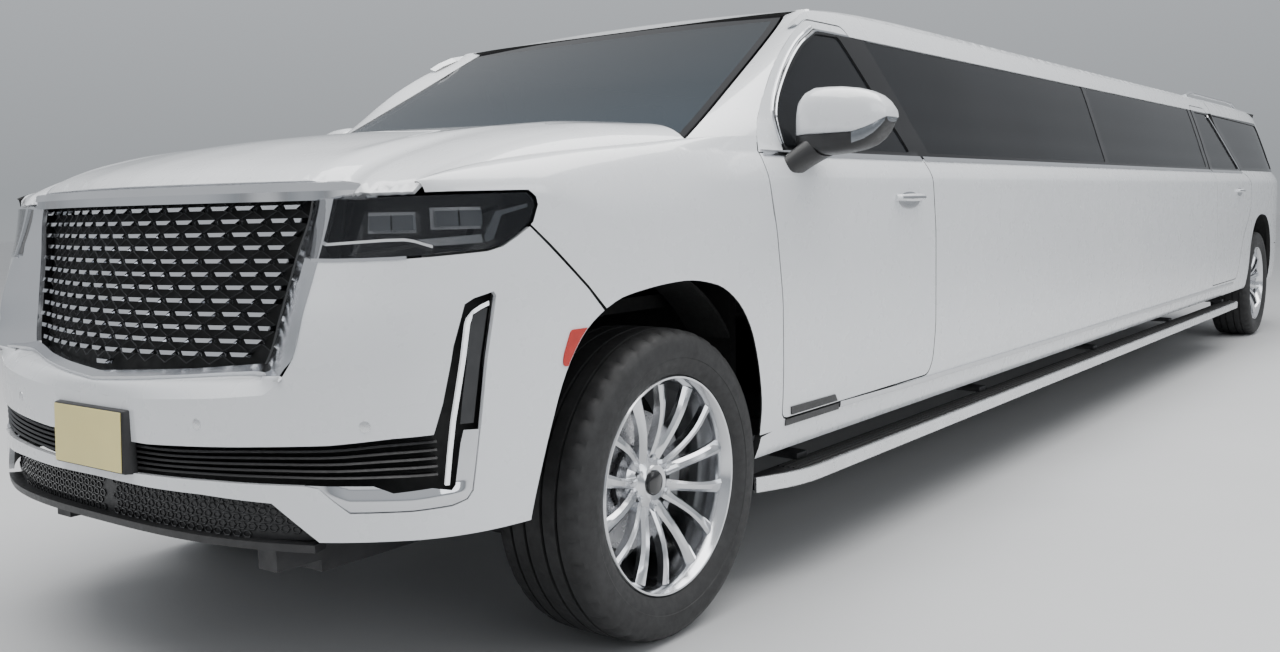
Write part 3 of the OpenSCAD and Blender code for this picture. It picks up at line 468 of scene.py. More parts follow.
# ------------------------------------------------------------------ panels
def area2(P):
    P = np.asarray(P, float); Q = np.roll(P, -1, 0); return float((P[:, 0]*Q[:, 1]-Q[:, 0]*P[:, 1]).sum())
def grow(P, d):
    """Outline moved outwards by d (inwards when d is below zero)."""
    P = np.asarray(P, float); d = d if area2(P) > 0 else -d
    a = P-np.roll(P, 1, 0); b = np.roll(P, -1, 0)-P
    a /= np.linalg.norm(a, axis=1)[:, None]; b /= np.linalg.norm(b, axis=1)[:, None]
    na = np.c_[a[:, 1], -a[:, 0]]; nb = np.c_[b[:, 1], -b[:, 0]]
    m = na+nb; m /= np.linalg.norm(m, axis=1)[:, None]
    return P+m*(d/np.clip((m*na).sum(1), 0.35, 1))[:, None]
def inside(P, u, v):
    P = np.asarray(P, float); u = np.asarray(u, float); v = np.asarray(v, float); r = np.zeros(u.shape, bool)
    for i in range(len(P)):
        x1, y1 = P[i]; x2, y2 = P[(i+1) % len(P)]
        if y1 == y2: continue
        c = ((y1 > v) != (y2 > v)) & (u < (x2-x1)*(v-y1)/(y2-y1)+x1)
        r ^= c
    return r
def segdist(P, u, v):
    P = np.asarray(P, float); d = np.full(u.shape, 1e9)
    for i in range(len(P)):
        a = P[i]; b = P[(i+1) % len(P)]; e = b-a; L = float((e*e).sum())
        if L < 1e-14: continue
        t = np.clip(((u-a[0])*e[0]+(v-a[1])*e[1])/L, 0, 1)
        d = np.minimum(d, np.hypot(u-a[0]-t*e[0], v-a[1]-t*e[1]))
    return d
def region(polys, pred, us, vs, sub=None):
    """Triangles filling the part of the plane where pred is true, its edges along the outlines."""
    us = np.asarray(us, float); vs = np.asarray(vs, float)
    su = np.median(np.diff(us)) if len(us) > 1 else 1.0; sv = np.median(np.diff(vs)) if len(vs) > 1 else 1.0
    sub = sub or max(su, sv)*0.75
    V = []; E = []
    for P in polys:
        P = np.asarray(P, float); k0 = len(V)
        for i in range(len(P)):
            a = P[i]; b = P[(i+1) % len(P)]; n = max(1, int(math.ceil(np.linalg.norm(b-a)/sub)))
            for j in range(n): V.append(tuple(a+(b-a)*j/n))
        k1 = len(V)
        E += [(k, k+1 if k+1 < k1 else k0) for k in range(k0, k1)]
    U, W = np.meshgrid(us, vs); U = U.ravel(); W = W.ravel()
    ok = pred(U, W)
    U, W = U[ok], W[ok]
    d = np.full(U.shape, 1e9)
    for P in polys: d = np.minimum(d, segdist(P, U, W))
    ok = d > 0.32*min(su, sv)
    V += list(zip(U[ok], W[ok]))
    r = geometry.delaunay_2d_cdt([Vector(p) for p in V], E, [], 0, 1e-7)
    v2 = np.array([(p[0], p[1]) for p in r[0]])
    T = np.array([f for f in r[2] if len(f) == 3], int)
    c = v2[T].mean(1)
    e1 = v2[T[:, 1]]-v2[T[:, 0]]; e2 = v2[T[:, 2]]-v2[T[:, 0]]; ar = np.abs(e1[:, 0]*e2[:, 1]-e1[:, 1]*e2[:, 0])
    T = T[pred(c[:, 0], c[:, 1]) & (ar > 1e-9)]
    used = np.unique(T); m = -np.ones(len(v2), int); m[used] = np.arange(len(used))
    return v2[used], m[T]
def fn_normal(f, u, v, h=0.0015):
    a = f(u+h, v)-f(u-h, v); b = f(u, v+h)-f(u, v-h)
    n = np.cross(a, b); L = np.linalg.norm(n, axis=-1); L[L < 1e-15] = 1
    return n/L[..., None]
def skin(name, polys, pred, us, vs, fo, ref, thick=0.006, fi=None, mats=("white", "black_matte", "white"), body="root", slot=None, both=True, fm=None, sub=None, names=None, fn=None):
    """A panel with a finished outer face, an inner face and an edge all round.
    fo: outer point of (u, v); ref: a direction, or a function, that the outer face looks along."""
    v2, T = region(polys, pred, us, vs, sub)
    u, v = v2[:, 0], v2[:, 1]
    P = fo(u, v); N = fn(u, v) if fn else fn_normal(fo, u, v)
    R = ref(u, v) if callable(ref) else np.broadcast_to(np.asarray(ref, float), P.shape)
    N = N*np.where((N*R).sum(1) < 0, -1.0, 1.0)[:, None]
    Q = fi(u, v) if fi else P-N*thick
    g = np.cross(P[T[:, 1]]-P[T[:, 0]], P[T[:, 2]]-P[T[:, 0]])
    T = np.where(((g*N[T[:, 0]]).sum(1) < 0)[:, None], T[:, ::-1], T)
    k = len(P)
    cnt = {}
    for t in T:
        for i in range(3):
            e = (t[i], t[(i+1) % 3]); cnt[e] = 1
    rim = [e for e in cnt if (e[1], e[0]) not in cnt]
    verts = [P, Q]; norms = [N, -N]; faces = [tuple(t) for t in T]+[tuple(t[::-1]+k) for t in T]
    cm = v2[T].mean(1)
    m0 = list(fm(cm[:, 0], cm[:, 1])) if fm else [0]*len(T)
    fmat = [int(x) for x in m0]+[1]*len(T)
    # the edge: one strip of quads with its own corners
    rv = []; rn = []; b = 2*k
    for (i, j) in rim:
        q = [P[j], P[i], Q[i], Q[j]]
        nn = np.cross(q[1]-q[0], q[2]-q[0]); L = np.linalg.norm(nn)
        if L < 1e-12: nn = N[i]; L = 1
        rv += q; rn += [nn/L]*4; faces.append((b, b+1, b+2, b+3)); b += 4; fmat.append(2)
    verts = np.concatenate(verts+([np.array(rv)] if rv else [])); norms = np.concatenate(norms+([np.array(rn)] if rn else []))
    out = []
    bl, br = (body if isinstance(body, (tuple, list)) else (body, body))
    nl, nr = names or (name+"_left", name+"_right")
    if not both: nl = name
    out.append(add(nl, verts, faces, None, bl, slot, norms, mats=list(mats), fmat=fmat))
    if both:
        out.append(add(nr, mirror_y(verts), [tuple(reversed(f)) for f in faces], None, br, slot, norms*np.array([1, -1, 1]), mats=list(mats), fmat=fmat))
    return out
def XA(p):
    """Level car point(s) (a, y, z) to the row's place."""
    p = np.array(p, float); p[..., 0] += XF; return p
# greenhouse and side as one inset from the reference half width
def I_SIDE(z):
    z = np.asarray(z, float)
    return np.where(z < 1.300, G_SIDE(z), 1.0295-Y_GH(z))
def side(a, z):
    a = np.asarray(a, float); z = np.asarray(z, float)
    return XA(np.stack([a, 1.0295-I_SIDE(z), z], -1))
TAILP = Plan([(-7.0,1.0295),(-7.6,1.0295),(-8.2,1.0292),(-8.6,1.0262),(-8.8,1.0185),(-9.0,1.001),(-9.16,0.966),(-9.27,0.905),(-9.345,0.810),(-9.39,0.66),(-9.415,0.45),(-9.428,0.22),(-9.432,0.0)])
I_REAR = mono([0.40,0.46,0.60,0.728,0.90,1.08,1.29,1.45,1.62,1.79,1.86],[0.030,0.012,0.003,0.003,0.014,0.040,0.086,0.145,0.226,0.326,0.395])
_st = lambda a: float(np.interp(-a, -TAILP.q[:3400, 0], TAILP.s[:3400]))
S_T0, S_T1 = _st(-8.85), _st(-9.36)
def tinset(s, z):
    w = smooth(s, S_T0, S_T1); return (1-w)*I_SIDE(z)+w*I_REAR(z)
def tsurf(s, z):
    s = np.asarray(s, float); z = np.asarray(z, float)
    q = TAILP.at(s); n = TAILP.nrm(s); i = tinset(s, z)
    return XA(np.stack([q[..., 0]-n[..., 0]*i-0.0, q[..., 1]-n[..., 1]*i, z], -1))
def nsurf(s, z): return XA(surf(s, z))
def nref(s, z):
    n = NOSE.nrm(s); return np.stack([n[..., 0], n[..., 1], 0*np.asarray(s)], -1)
def tref(s, z):
    n = TAILP.nrm(s); return np.stack([n[..., 0], n[..., 1], 0*np.asarray(s)], -1)
SA = lambda a: NOSE.s_of_a(a)
def mm(P): return np.asarray(P, float)/1000.0
FDOOR = mm([[-540,512],[-1606,512],[-1636,560],[-1651,700],[-1640,1040],[-1616,1200],[-1600,1304],[-1450,1510],[-1282,1752],[-1020,1750],[-905,1700],[-720,1588],[-565,1455],[-490,1372],[-470,1312],[-452,1245],[-500,1075],[-534,870]])
FDW = mm([[-640,1322],[-1520,1322],[-1222,1712],[-1060,1708],[-935,1652],[-770,1545],[-640,1428]])
RDOOR = mm([[-6440,512],[-7235,512],[-7275,560],[-7330,700],[-7420,830],[-7560,940],[-7640,1010],[-7668,1100],[-7650,1200],[-7590,1262],[-7480,1300],[-7340,1404],[-7110,1574],[-6900,1722],[-6850,1752],[-6420,1752],[-6425,1500],[-6412,1300],[-6460,1100],[-6490,900],[-6482,700]])
RDW = mm([[-6500,1322],[-7390,1322],[-6868,1712],[-6500,1712]])
SW1 = mm([[-1690,1322],[-3960,1322],[-3960,1722],[-1420,1722]])
SW2 = mm([[-4020,1322],[-6330,1322],[-6330,1722],[-4020,1722]])
QWIN = mm([[-7560,1336],[-8900,1336],[-8800,1660],[-8760,1700],[-7060,1716]])
FARCH = mm([[560,380],[540,470],[480,660],[425,782],[340,880],[204,938],[-34,958],[-180,938],[-290,880],[-362,787],[-400,670],[-418,560],[-421,380]])
RARCH = mm([[-7655,380],[-7672,480],[-7682,600],[-7708,730],[-7790,860],[-7920,945],[-8100,972],[-8280,960],[-8430,900],[-8535,800],[-8590,670],[-8615,540],[-8640,380]])
def shift(P): P = np.array(P, float); P[P[:, 0] < -5.0, 0] -= DZ; return P
RDOOR, RDW, SW2, QWIN, RARCH = map(shift, (RDOOR, RDW, SW2, QWIN, RARCH))
def round_poly(P, n=5, r=0.5):
    """Corners softened: each one becomes a short curve."""
    P = np.asarray(P, float); out = []
    for i in range(len(P)):
        a, b, c = P[i-1], P[i], P[(i+1) % len(P)]
        p = b+(a-b)*min(0.45, r/np.linalg.norm(a-b)); q = b+(c-b)*min(0.45, r/np.linalg.norm(c-b))
        for t in np.linspace(0, 1, n): out.append((1-t)**2*p+2*t*(1-t)*b+t*t*q)
    return np.array(out)
def smooth_arch(P, n=60):
    P = np.asarray(P, float); d = np.r_[0, np.cumsum(np.linalg.norm(np.diff(P, axis=0), axis=1))]
    t = np.linspace(0, d[-1], n)
    return np.c_[mono(d, P[:, 0])(t), mono(d, P[:, 1])(t)]
FARCHS, RARCHS = smooth_arch(FARCH), smooth_arch(RARCH)
FD, RD = round_poly(FDOOR, 4, 0.030), round_poly(RDOOR, 4, 0.030)
FD5, RD5 = grow(FD, 0.0055), grow(RD, 0.0055)
# ------------------------------------------------------------------ body side, doors, roof
ZB = 1.298                      # belt
ZT = 1.722                      # top of the window band
def side_panels():
    Z1 = np.r_[0.41, np.linspace(0.425, 0.54, 9), np.linspace(0.56, 1.16, 17), np.linspace(1.18, 1.296, 15)]
    Z2 = np.r_[np.linspace(1.302, 1.71, 16), np.linspace(1.722, 1.80, 9)]
    af = np.arange(-7.72, -0.40, 0.055)
    # lower side of the stretch, and sill
    low = np.array([(-7.598-DZ, 0.405), (-0.425, 0.405), (-0.425, 0.4765), (-0.485, 0.4775), (-0.50, 0.4775), (-0.50, ZB), (-7.70-DZ, ZB), (-7.70-DZ, 0.96), (-7.69-DZ, 0.92)])
    low = np.array([(-0.412, 0.412), (-0.428, 0.474), (-0.70, 0.506), (-0.70, ZB), (-7.700-DZ, ZB), (-7.700-DZ, 0.412)])
    arch = grow(RARCHS, 0.004)
    pr = lambda u, v: inside(low, u, v) & ~inside(FD5, u, v) & ~inside(RD5, u, v) & ~inside(arch, u, v) & ~((u > -1.0) & (v > 0.507)) & ~((u < -7.5-DZ) & (v > 0.93))
    skin("stretch_lower", [low, FD5, RD5, arch, [(-1.0, 0.507), (-0.3, 0.507), (-0.3, 0.5075), (-1.0, 0.5075)], [(-8.0-DZ, 0.93), (-7.5-DZ, 0.93), (-7.5-DZ, 1.2), (-8.0-DZ, 1.2)]], pr, af, Z1, side, (0, 1, 0), 0.022, mats=("white", "trim_soft", "black_matte"), slot="body_white")
    # inner wall below the belt
    inn = lambda u, v: XA(np.stack([u, np.full_like(u, 0.9), v], -1))
    i0 = np.array([(-1.70, 0.475), (-6.39-DZ, 0.475), (-6.39-DZ, 1.305), (-1.70, 1.305)])
    skin("stretch_trim", [i0], lambda u, v: inside(i0, u, v), np.arange(-6.4-DZ, -1.65, 0.16), np.linspace(0.48, 1.3, 9), lambda u, v: XA(np.stack([u, 0.893+0*u, v], -1)), (0, -1, 0), 0.02, mats=("trim_soft",)*3, slot="interior_black")
    # window band: black frame with the openings
    band = np.array([(-1.455, ZT), (-1.625, 1.497), (-1.607, 1.302), (-6.405-DZ, 1.302), (-6.42-DZ, ZT)])
    band = np.array([(-1.30, ZT), (-1.46, 1.500), (-1.607, 1.302), (-6.406-DZ, 1.302), (-6.418-DZ, 1.50), (-6.414-DZ, ZT)])
    w1, w2 = round_poly(SW1, 4, 0.02), round_poly(SW2, 4, 0.02)
    skin("window_band", [band, FD5, RD5, w1, w2], lambda u, v: inside(band, u, v) & ~inside(FD5, u, v) & ~inside(RD5, u, v) & ~inside(w1, u, v) & ~inside(w2, u, v),
         np.arange(-6.45-DZ, -1.25, 0.09), np.linspace(1.30, ZT, 12), lambda u, v: side(u, v)-np.array([0, 0.003, 0]), (0, 1, 0), 0.030, mats=("ceramic", "trim_soft", "black_plastic"), slot="body_white")
    # white cant rail above the windows, to the roof seam
    cant = np.array([(-0.93, 1.7275), (-1.30, ZT+0.0005), (-6.414-DZ, ZT+0.0005), (-6.90-DZ, ZT+0.0005), (-7.05-DZ, 1.7275), (-7.05-DZ, 1.812), (-1.60, 1.812), (-1.45, 1.8105), (-1.30, 1.806), (-1.20, 1.800), (-1.10, 1.792), (-1.03, 1.778), (-0.97, 1.752)])
    skin("cant_rail", [cant, FD5, RD5], lambda u, v: inside(cant, u, v) & ~inside(FD5, u, v) & ~inside(RD5, u, v), np.arange(-7.06-DZ, -0.9, 0.07), Z2[-9:].tolist()+[1.808], side, (0, 1, 0), 0.030, mats=("white", "headliner", "white"), slot="body_white")
    return
def doors():
    for tag, D, W, hinge, body in (("front_door", FD, FDW, 1, ("front_door_left", "front_door_right")), ("rear_door", RD, RDW, 1, ("rear_door_left", "rear_door_right"))):
        W2 = round_poly(W, 4, 0.016)
        BK = np.array([(-9.5, 1.2), (-9.5, ZT), (-5.5, ZT), (-5.5, 1.2)]) if tag == "rear_door" else np.array([(-0.610, 1.29), (-1.75, 1.29), (-1.52, 1.60), (-1.40, ZT), (-1.20, 1.7275), (-1.055, 1.7255), (-0.922, 1.6685), (-0.754, 1.5615), (-0.628, 1.448), (-0.611, 1.405)])
        us = np.arange(D[:, 0].min(), D[:, 0].max(), 0.045)
        lo = np.array([(-9, 0.3), (-0.2, 0.3), (-0.2, ZB), (-9, ZB)])
        hi = np.array([(-9, 1.3015), (-0.2, 1.3015), (-0.2, 1.9), (-9, 1.9)])
        z1 = np.r_[np.linspace(0.515, 0.56, 5), np.linspace(0.58, 1.16, 16), np.linspace(1.18, 1.296, 14)]
        skin(tag+"_skin", [D, lo], lambda u, v: inside(D, u, v) & (v < ZB), us, z1, side, (0, 1, 0), 0.024, mats=("white", "black_matte", "white"), body=body, slot="body_white")
        # frame of the window: black round the glass, white above it
        skin(tag+"_frame", [D, hi, W2, BK], lambda u, v: inside(D, u, v) & (v > 1.3015) & ~inside(W2, u, v), us, np.linspace(1.305, 1.75, 18), lambda u, v: side(u, v), (0, 1, 0), 0.032,
             mats=("white", "trim_soft", "black_plastic", "ceramic"), body=body, slot="body_white", fm=lambda u, v: np.where(inside(BK, u, v), 3, 0))
        # inner panel with a stepped edge
        Din = grow(D, -0.034); Dl = [(-9, 1.292), (-0.2, 1.292), (-0.2, 1.2921), (-9, 1.2921)]
        hx = -0.566 if tag == "front_door" else -6.516-DZ
        nose = [(hx+0.005, 0.3), (hx+0.005, 1.35), (hx+0.0051, 1.35), (hx+0.0051, 0.3)]
        pr = lambda u, v: inside(Din, u, v) & (v < 1.292) & (u < hx+0.005)
        skin(tag+"_trim", [Din, Dl, nose], pr, us, np.linspace(0.55, 1.29, 12), lambda u, v: XA(np.stack([u, 0.9195+0.006*np.sin((v-0.55)*9), v], -1)), (0, -1, 0), 0.07,
             fi=lambda u, v: XA(np.stack([u, 0.998+0*u-np.clip(v-1.2, 0, 1)*0.25, v], -1)), mats=("trim_soft", "black_matte", "black_plastic"), body=body, slot="interior_black")
def roof():
    RY = mono([0.0,0.2,0.4,0.6,0.68,0.72,0.755,0.775,0.790],[1.908,1.904,1.893,1.872,1.858,1.849,1.838,1.826,1.8125])
    CF = mono([-9.06,-8.99,-8.90,-8.70,-8.30,-7.8,-2.1,-1.9,-1.6,-1.35,-1.2,-1.112,-1.03],[1.828,1.845,1.857,1.879,1.903,1.908,1.908,1.905,1.888,1.860,1.834,1.810,1.788])
    ZE = mono([1.03,1.10,1.30,1.45,1.60,9.0], [1.778,1.792,1.806,1.8105,1.8125,1.8125])
    def f(a, t):
        # t runs across: 0 centre to 1 side edge
        y = 0.790*np.asarray(t); aa = np.where(a < -5, a+DZ, a)
        z = 1.788+(RY(np.abs(y))-1.788)*(CF(aa)-1.788)/0.120
        zs = RY(np.abs(y))
        # near the side edge the height stays with the cant rail
        ze = ZE(-aa); w = smooth(np.abs(t), 0.80, 1.0); z = z+(ze-(1.788+0.0245*(CF(aa)-1.788)/0.120))*w
        y = y*(1+(Y_GH(ze)-Y_GH(1.8125))/0.790)
        return XA(np.stack([a, y, z], -1))
    fa = lambda t: -1.100+0.052*(1-t*t)
    ra = lambda t: -9.045-DZ+0.03*t*t
    ts = np.r_[np.linspace(0, 0.80, 14), np.linspace(0.83, 1.0, 14)]
    T = np.linspace(0, 1, 30)
    out = np.array([(fa(t), t) for t in T]+[(ra(t), t) for t in T[::-1]])
    full = np.concatenate([out, np.array([(p[0], -p[1]) for p in out[::-1][1:-1]])]) if False else out
    poly = np.array([(fa(t), t) for t in np.linspace(-1, 1, 61)]+[(ra(t), t) for t in np.linspace(1, -1, 61)])
    tt = np.r_[-ts[::-1][:-1], ts]
    aas = np.r_[-np.linspace(1.06, 2.2, 26), -np.arange(2.3, 8.2, 0.13), -np.linspace(8.25, 9.04, 20)-DZ]
    skin("roof_skin", [poly], lambda u, v: inside(poly, u, v), np.sort(aas), tt, f, (0, 0, 1), 0.030, mats=("white", "headliner", "black_matte"), both=False, slot="body_white", sub=0.06)
# ------------------------------------------------------------------ front: fenders, bumper, hood, grille, lamps
SEM_S = [0.90,0.93,0.97,1.06,1.17,1.35,1.545,1.75,1.91,2.06,2.23,2.40]
SEM_A = mono(SEM_S, [0.835,0.815,0.768,0.675,0.572,0.400,0.217,0.012,-0.150,-0.300,-0.470,-0.640])
SEM_Y = mono(SEM_S, [0.828,0.842,0.868,0.893,0.908,0.928,0.942,0.948,0.950,0.949,0.946,0.944])
SEM_Z = mono(SEM_S, [1.189,1.197,1.214,1.241,1.261,1.284,1.301,1.318,1.332,1.342,1.347,1.347])
def z0f(s): return 1.186-0.066*smooth(s, 1.22, 1.55)
VT = 0.20
def fend(s, v):
    s = np.asarray(s, float); v = np.asarray(v, float)
    z0 = z0f(s); zs = np.maximum(SEM_Z(s), z0+0.003); th = np.clip((v-z0)/VT, 0, 1)*np.pi/2
    z = np.where(v < z0, v, z0+(zs-z0)*np.sin(th))
    P = surf(s, np.minimum(v, z0)); k = (1-np.cos(th))
    x = P[..., 0]+(SEM_A(s)-P[..., 0])*k; y = P[..., 1]+(SEM_Y(s)-P[..., 1])*k
    w = smooth(s, 1.70, 2.18)*smooth(v, 1.10, 1.13)
    y = y*(1-w)+(1.0295-I_SIDE(np.minimum(z, 1.36)))*w
    return XA(np.stack([x, y, z], -1))
def vof(s, z):
    z0 = z0f(s); zs = np.maximum(SEM_Z(s), z0+0.003)
    return np.where(z < z0, z, z0+VT*2/np.pi*np.arcsin(np.clip((z-z0)/(zs-z0), 0, 1)))
def fref(s, v):
    n = nref(s, v); n = n.copy(); n[..., 2] = np.where(np.asarray(v) > 1.15, 0.8, 0.0); return n
LAMP = np.array([(0.692,1.186),(0.762,1.186),(0.866,1.187),(0.956,1.188),(1.088,1.190),(1.230,1.192),(1.247,1.178),(1.252,1.163),(1.236,1.126),(1.199,1.099),(1.158,1.077),(1.121,1.068),(0.992,1.060),(0.930,1.057),(0.795,1.055),(0.675,1.057)])
HOLE = np.array([(0,0.630),(0.225,0.629),(0.561,0.647),(0.752,0.656),(0.893,0.670),(0.978,0.674),(1.000,0.740),(1.022,0.832),(1.028,0.862),(1.058,0.952),(1.080,0.964),(1.129,0.976),(1.135,0.966),(1.106,0.826),(1.084,0.677),(1.062,0.541),(1.048,0.524),(1.013,0.513),(0.927,0.508),(0.789,0.506),(0.718,0.560),(0.684,0.5645),(0.437,0.562),(0.131,0.552),(0,0.552)])
BUMP = np.array([(0,0.735),(0.061,0.732),(0.237,0.736),(0.451,0.750),(0.596,0.763),(0.636,0.790),(0.648,0.806),(0.661,0.824),(0.674,0.845),(0.698,0.950),(0.716,1.038),(0.716,1.053),(0.795,1.050),(0.930,1.053),(0.992,1.056),(1.121,1.064),(1.160,1.0735),(1.200,1.0945),(1.233,1.114),(1.290,1.066),(1.409,0.965),(1.470,0.904),(1.60,0.86),(1.60,0.447),(1.05,0.447),(0.883,0.445),(0.717,0.441),(0.603,0.523),(0.407,0.529),(0.214,0.526),(0,0.528)])
def front_body():
    sA = lambda P: np.array([(float(SA(a)), z) for a, z in P])
    arch = sA(FARCHS); arch4 = grow(arch, 0.0)
    fd5 = np.array([(float(SA(a)), float(vof(SA(a), z))) for a, z in FD5])
    seam = [(s, float(z0f(s))+VT) for s in np.r_[np.linspace(0.982, 2.23, 40)]]
    fo = np.array([(float(SA(-0.56)), 0.4815), (1.60, 0.4815), (1.60, 0.80), (1.476, 0.911), (1.413, 0.971), (1.294, 1.072), (1.236, 1.119), (1.243,1.125), (1.2585,1.163), (1.2535,1.181), (1.233, float(vof(1.233, 1.1965))), (1.16, float(vof(1.16, 1.1960))), (1.088, float(vof(1.088, 1.1955))), (1.02, float(vof(1.02, 1.1950))), (0.985, float(vof(0.985, 1.1945)))]+seam+[(float(SA(-0.56)), float(z0f(2.3))+VT)])
    pr = lambda u, v: inside(fo, u, v) & ~inside(arch, u, v) & ~inside(fd5, u, v)
    Z = np.r_[np.linspace(0.49, 1.10, 26), np.linspace(1.12, 1.40, 26)]
    skin("fender_skin", [fo, arch, fd5], pr, np.arange(0.92, 2.33, 0.026), Z, fend, fref, 0.005, mats=("white", "black_matte", "black_matte"), slot="body_white", sub=0.02)
    # bumper skin
    pr = lambda u, v: inside(BUMP, u, v) & ~inside(HOLE, u, v) & ~inside(arch, u, v)
    zz = np.r_[np.linspace(0.445, 1.115, 34)]
    skin("bumper_skin", [BUMP, HOLE, arch], pr, np.arange(0.0, 1.61, 0.024), zz, nsurf, nref, 0.014, mats=("white", "black_matte", "white"), slot="body_white", sub=0.018)
    # ledge between the crease and the foot of the grille
    S = np.linspace(0, 0.636, 44)
    CR = mono([0,0.061,0.237,0.451,0.596,0.636],[0.7345,0.7325,0.736,0.750,0.763,0.790])
    Y = NOSE.at(S)
    V = [[], [], []]
    yv = np.linspace(0, 0.5735, 44)
    vz = mono([0,0.2,0.4,0.5,0.5735],[0.764,0.776,0.790,0.796,0.802]); vx = np.array([grille_x(y, float(vz(y))) for y in yv])+0.016
    end = surf(0.648, 0.806); vx[-1] = end[0]; yv[-1] = end[1]
    k = smooth(np.arange(44)/43, 0.9, 1.0); vx = vx*(1-k)+end[0]*k
    rows = []
    for t in np.linspace(0, 1, 9):
        z = CR(S)*(1-t)+vz(yv)*t; a = Y[:, 0]*(1-t)+vx*t; y = Y[:, 1]*(1-t)+yv*t
        b = 0.010*math.sin(math.pi*t)                     # a soft crown, so that it catches the light
        rows.append(np.c_[a+b*0.3, y, z+b])
    G = np.array(rows)
    def grid_piece(name, G, mats=("white",)*3, th=0.012, ref=(0.3, 0, 1), slot=None, both=True, body="root"):
        h, w = G.shape[:2]; P = XA(G.reshape(-1, 3))
        gu = np.gradient(G, axis=1); gv = np.gradient(G, axis=0); N = np.cross(gu, gv).reshape(-1, 3); N /= np.maximum(np.linalg.norm(N, axis=1), 1e-12)[:, None]
        N *= np.where((N @ np.asarray(ref, float)) < 0, -1, 1)[:, None]
        Q = P-N*th; n = h*w
        F = []; 
        for i in range(h-1):
            for j in range(w-1):
                q = (i*w+j, i*w+j+1, (i+1)*w+j+1, (i+1)*w+j)
                g = np.cross(P[q[1]]-P[q[0]], P[q[2]]-P[q[0]])
                if np.dot(g, N[q[0]]) < 0: q = q[::-1]
                F.append(q)
        F2 = [tuple(x+n for x in q[::-1]) for q in F]
        ring = [(0, j) for j in range(w)]+[(i, w-1) for i in range(1, h)]+[(h-1, j) for j in range(w-2, -1, -1)]+[(i, 0) for i in range(h-2, 0, -1)]
        ring = [i*w+j for i, j in ring]; vv = []; nn = []; F3 = []; b = 2*n
        c = P[ring].mean(0)
        for x in range(len(ring)):
            i, j = ring[x], ring[(x+1) % len(ring)]
            q = [P[i], P[j], Q[j], Q[i]]; g = np.cross(q[1]-q[0], q[2]-q[0]); L = np.linalg.norm(g)
            if L < 1e-13: continue
            if np.dot(g, (P[i]+P[j])/2-c) < 0: q = q[::-1]; g = -g
            vv += q; nn += [g/L]*4; F3.append((b, b+1, b+2, b+3)); b += 4
        verts = np.concatenate([P, Q, np.array(vv)]); norms = np.concatenate([N, -N, np.array(nn)])
        faces = F+F2+F3; fm = [0]*len(F)+[1]*len(F2)+[2]*len(F3)
        add(name+("_left" if both else ""), verts, faces, None, body, slot, norms, mats=list(mats), fmat=fm)
        if both: add(name+"_right", mirror_y(verts), [tuple(reversed(f)) for f in faces], None, body, slot, norms*np.array([1, -1, 1]), mats=list(mats), fmat=fm)
    globals()["grid_piece"] = grid_piece
    grid_piece("grille_ledge", G, slot="body_white")
    # ---- hood
    AF = mono([0,0.2,0.353,0.5,0.626,0.69], [0.903,0.886,0.856,0.826,0.795,0.776])
    F0 = mono([0,0.012,0.03,0.1,0.2,0.34,0.53,0.71,1.06], [1.230,1.245,1.257,1.285,1.312,1.342,1.369,1.384,1.390])
    fe = [surf(s, 1.1915) for s in (0.80, 0.84, 0.88, 0.92, 0.95, 0.966)]
    ft = [(AF(y), y) for y in np.linspace(0, 0.69, 24)]+[(p[0]-0.008, p[1]) for p in fe]
    FE = mono([p[1] for p in ft], [p[0] for p in ft])
    sy = [(float(SEM_A(s))-0.001, float(SEM_Y(s))-0.0055) for s in np.linspace(0.945, 1.915, 40)]
    YS = mono([-p[0] for p in sy], [p[1] for p in sy]); ZS = mono([-float(SEM_A(s)) for s in np.linspace(0.93, 1.95, 40)], [float(SEM_Z(s)) for s in np.linspace(0.93, 1.95, 40)])
    def hood(a, y):
        a = np.asarray(a, float); y = np.asarray(y, float); ay = np.abs(y)
        zf = 1.230-0.034*smooth(ay, 0.58, 0.72); d = np.clip(FE(np.minimum(ay, 0.86))-a, 0, 1.1)
        z = zf+(F0(d)-1.230)*(1.386-zf)/0.156
        t = np.clip(ay/YS(-a), 0, 1.02); g = 0.12*t**2+0.88*t**18
        zs = ZS(-a); w = np.where(z > zs, z-zs, (z-zs)*smooth(t, 0.80, 0.97)*smooth(d, 0.0, 0.035))
        # two soft crease lines run back from the grille corners
        cr = 0.006*np.exp(-((ay-(0.60+0.10*smooth(-a, -0.8, 0.1)))/0.045)**2)*smooth(d, 0.02, 0.2)
        return XA(np.stack([a, y, z-w*g+cr], -1))
    half = [(p[0], p[1]) for p in ft]+[s_ for s_ in sy if s_[0] < fe[-1][0]-0.004]+[(-0.152, YS(0.152))]
    half = [(float(a), float(b)) for a, b in half]
    poly = np.array(half+[(a, -b) for a, b in half[::-1] if b > 1e-9])
    pp = []; 
    for q in poly:
        if not pp or np.hypot(pp[-1][0]-q[0], pp[-1][1]-q[1]) > 1e-5: pp.append(tuple(q))
    ys = np.r_[np.linspace(0, 0.78, 20), np.linspace(0.80, 0.945, 15)]
    skin("hood_skin", [pp], lambda u, v: inside(pp, u, v), np.r_[np.linspace(-0.15, 0.6, 22), np.linspace(0.62, 0.905, 26)], np.r_[-ys[::-1][:-1], ys], hood, (0.2, 0, 1), 0.009, mats=("white", "black_matte", "white"), both=False, body="hood", slot="body_white", sub=0.016)
    globals()["hood_f"] = hood
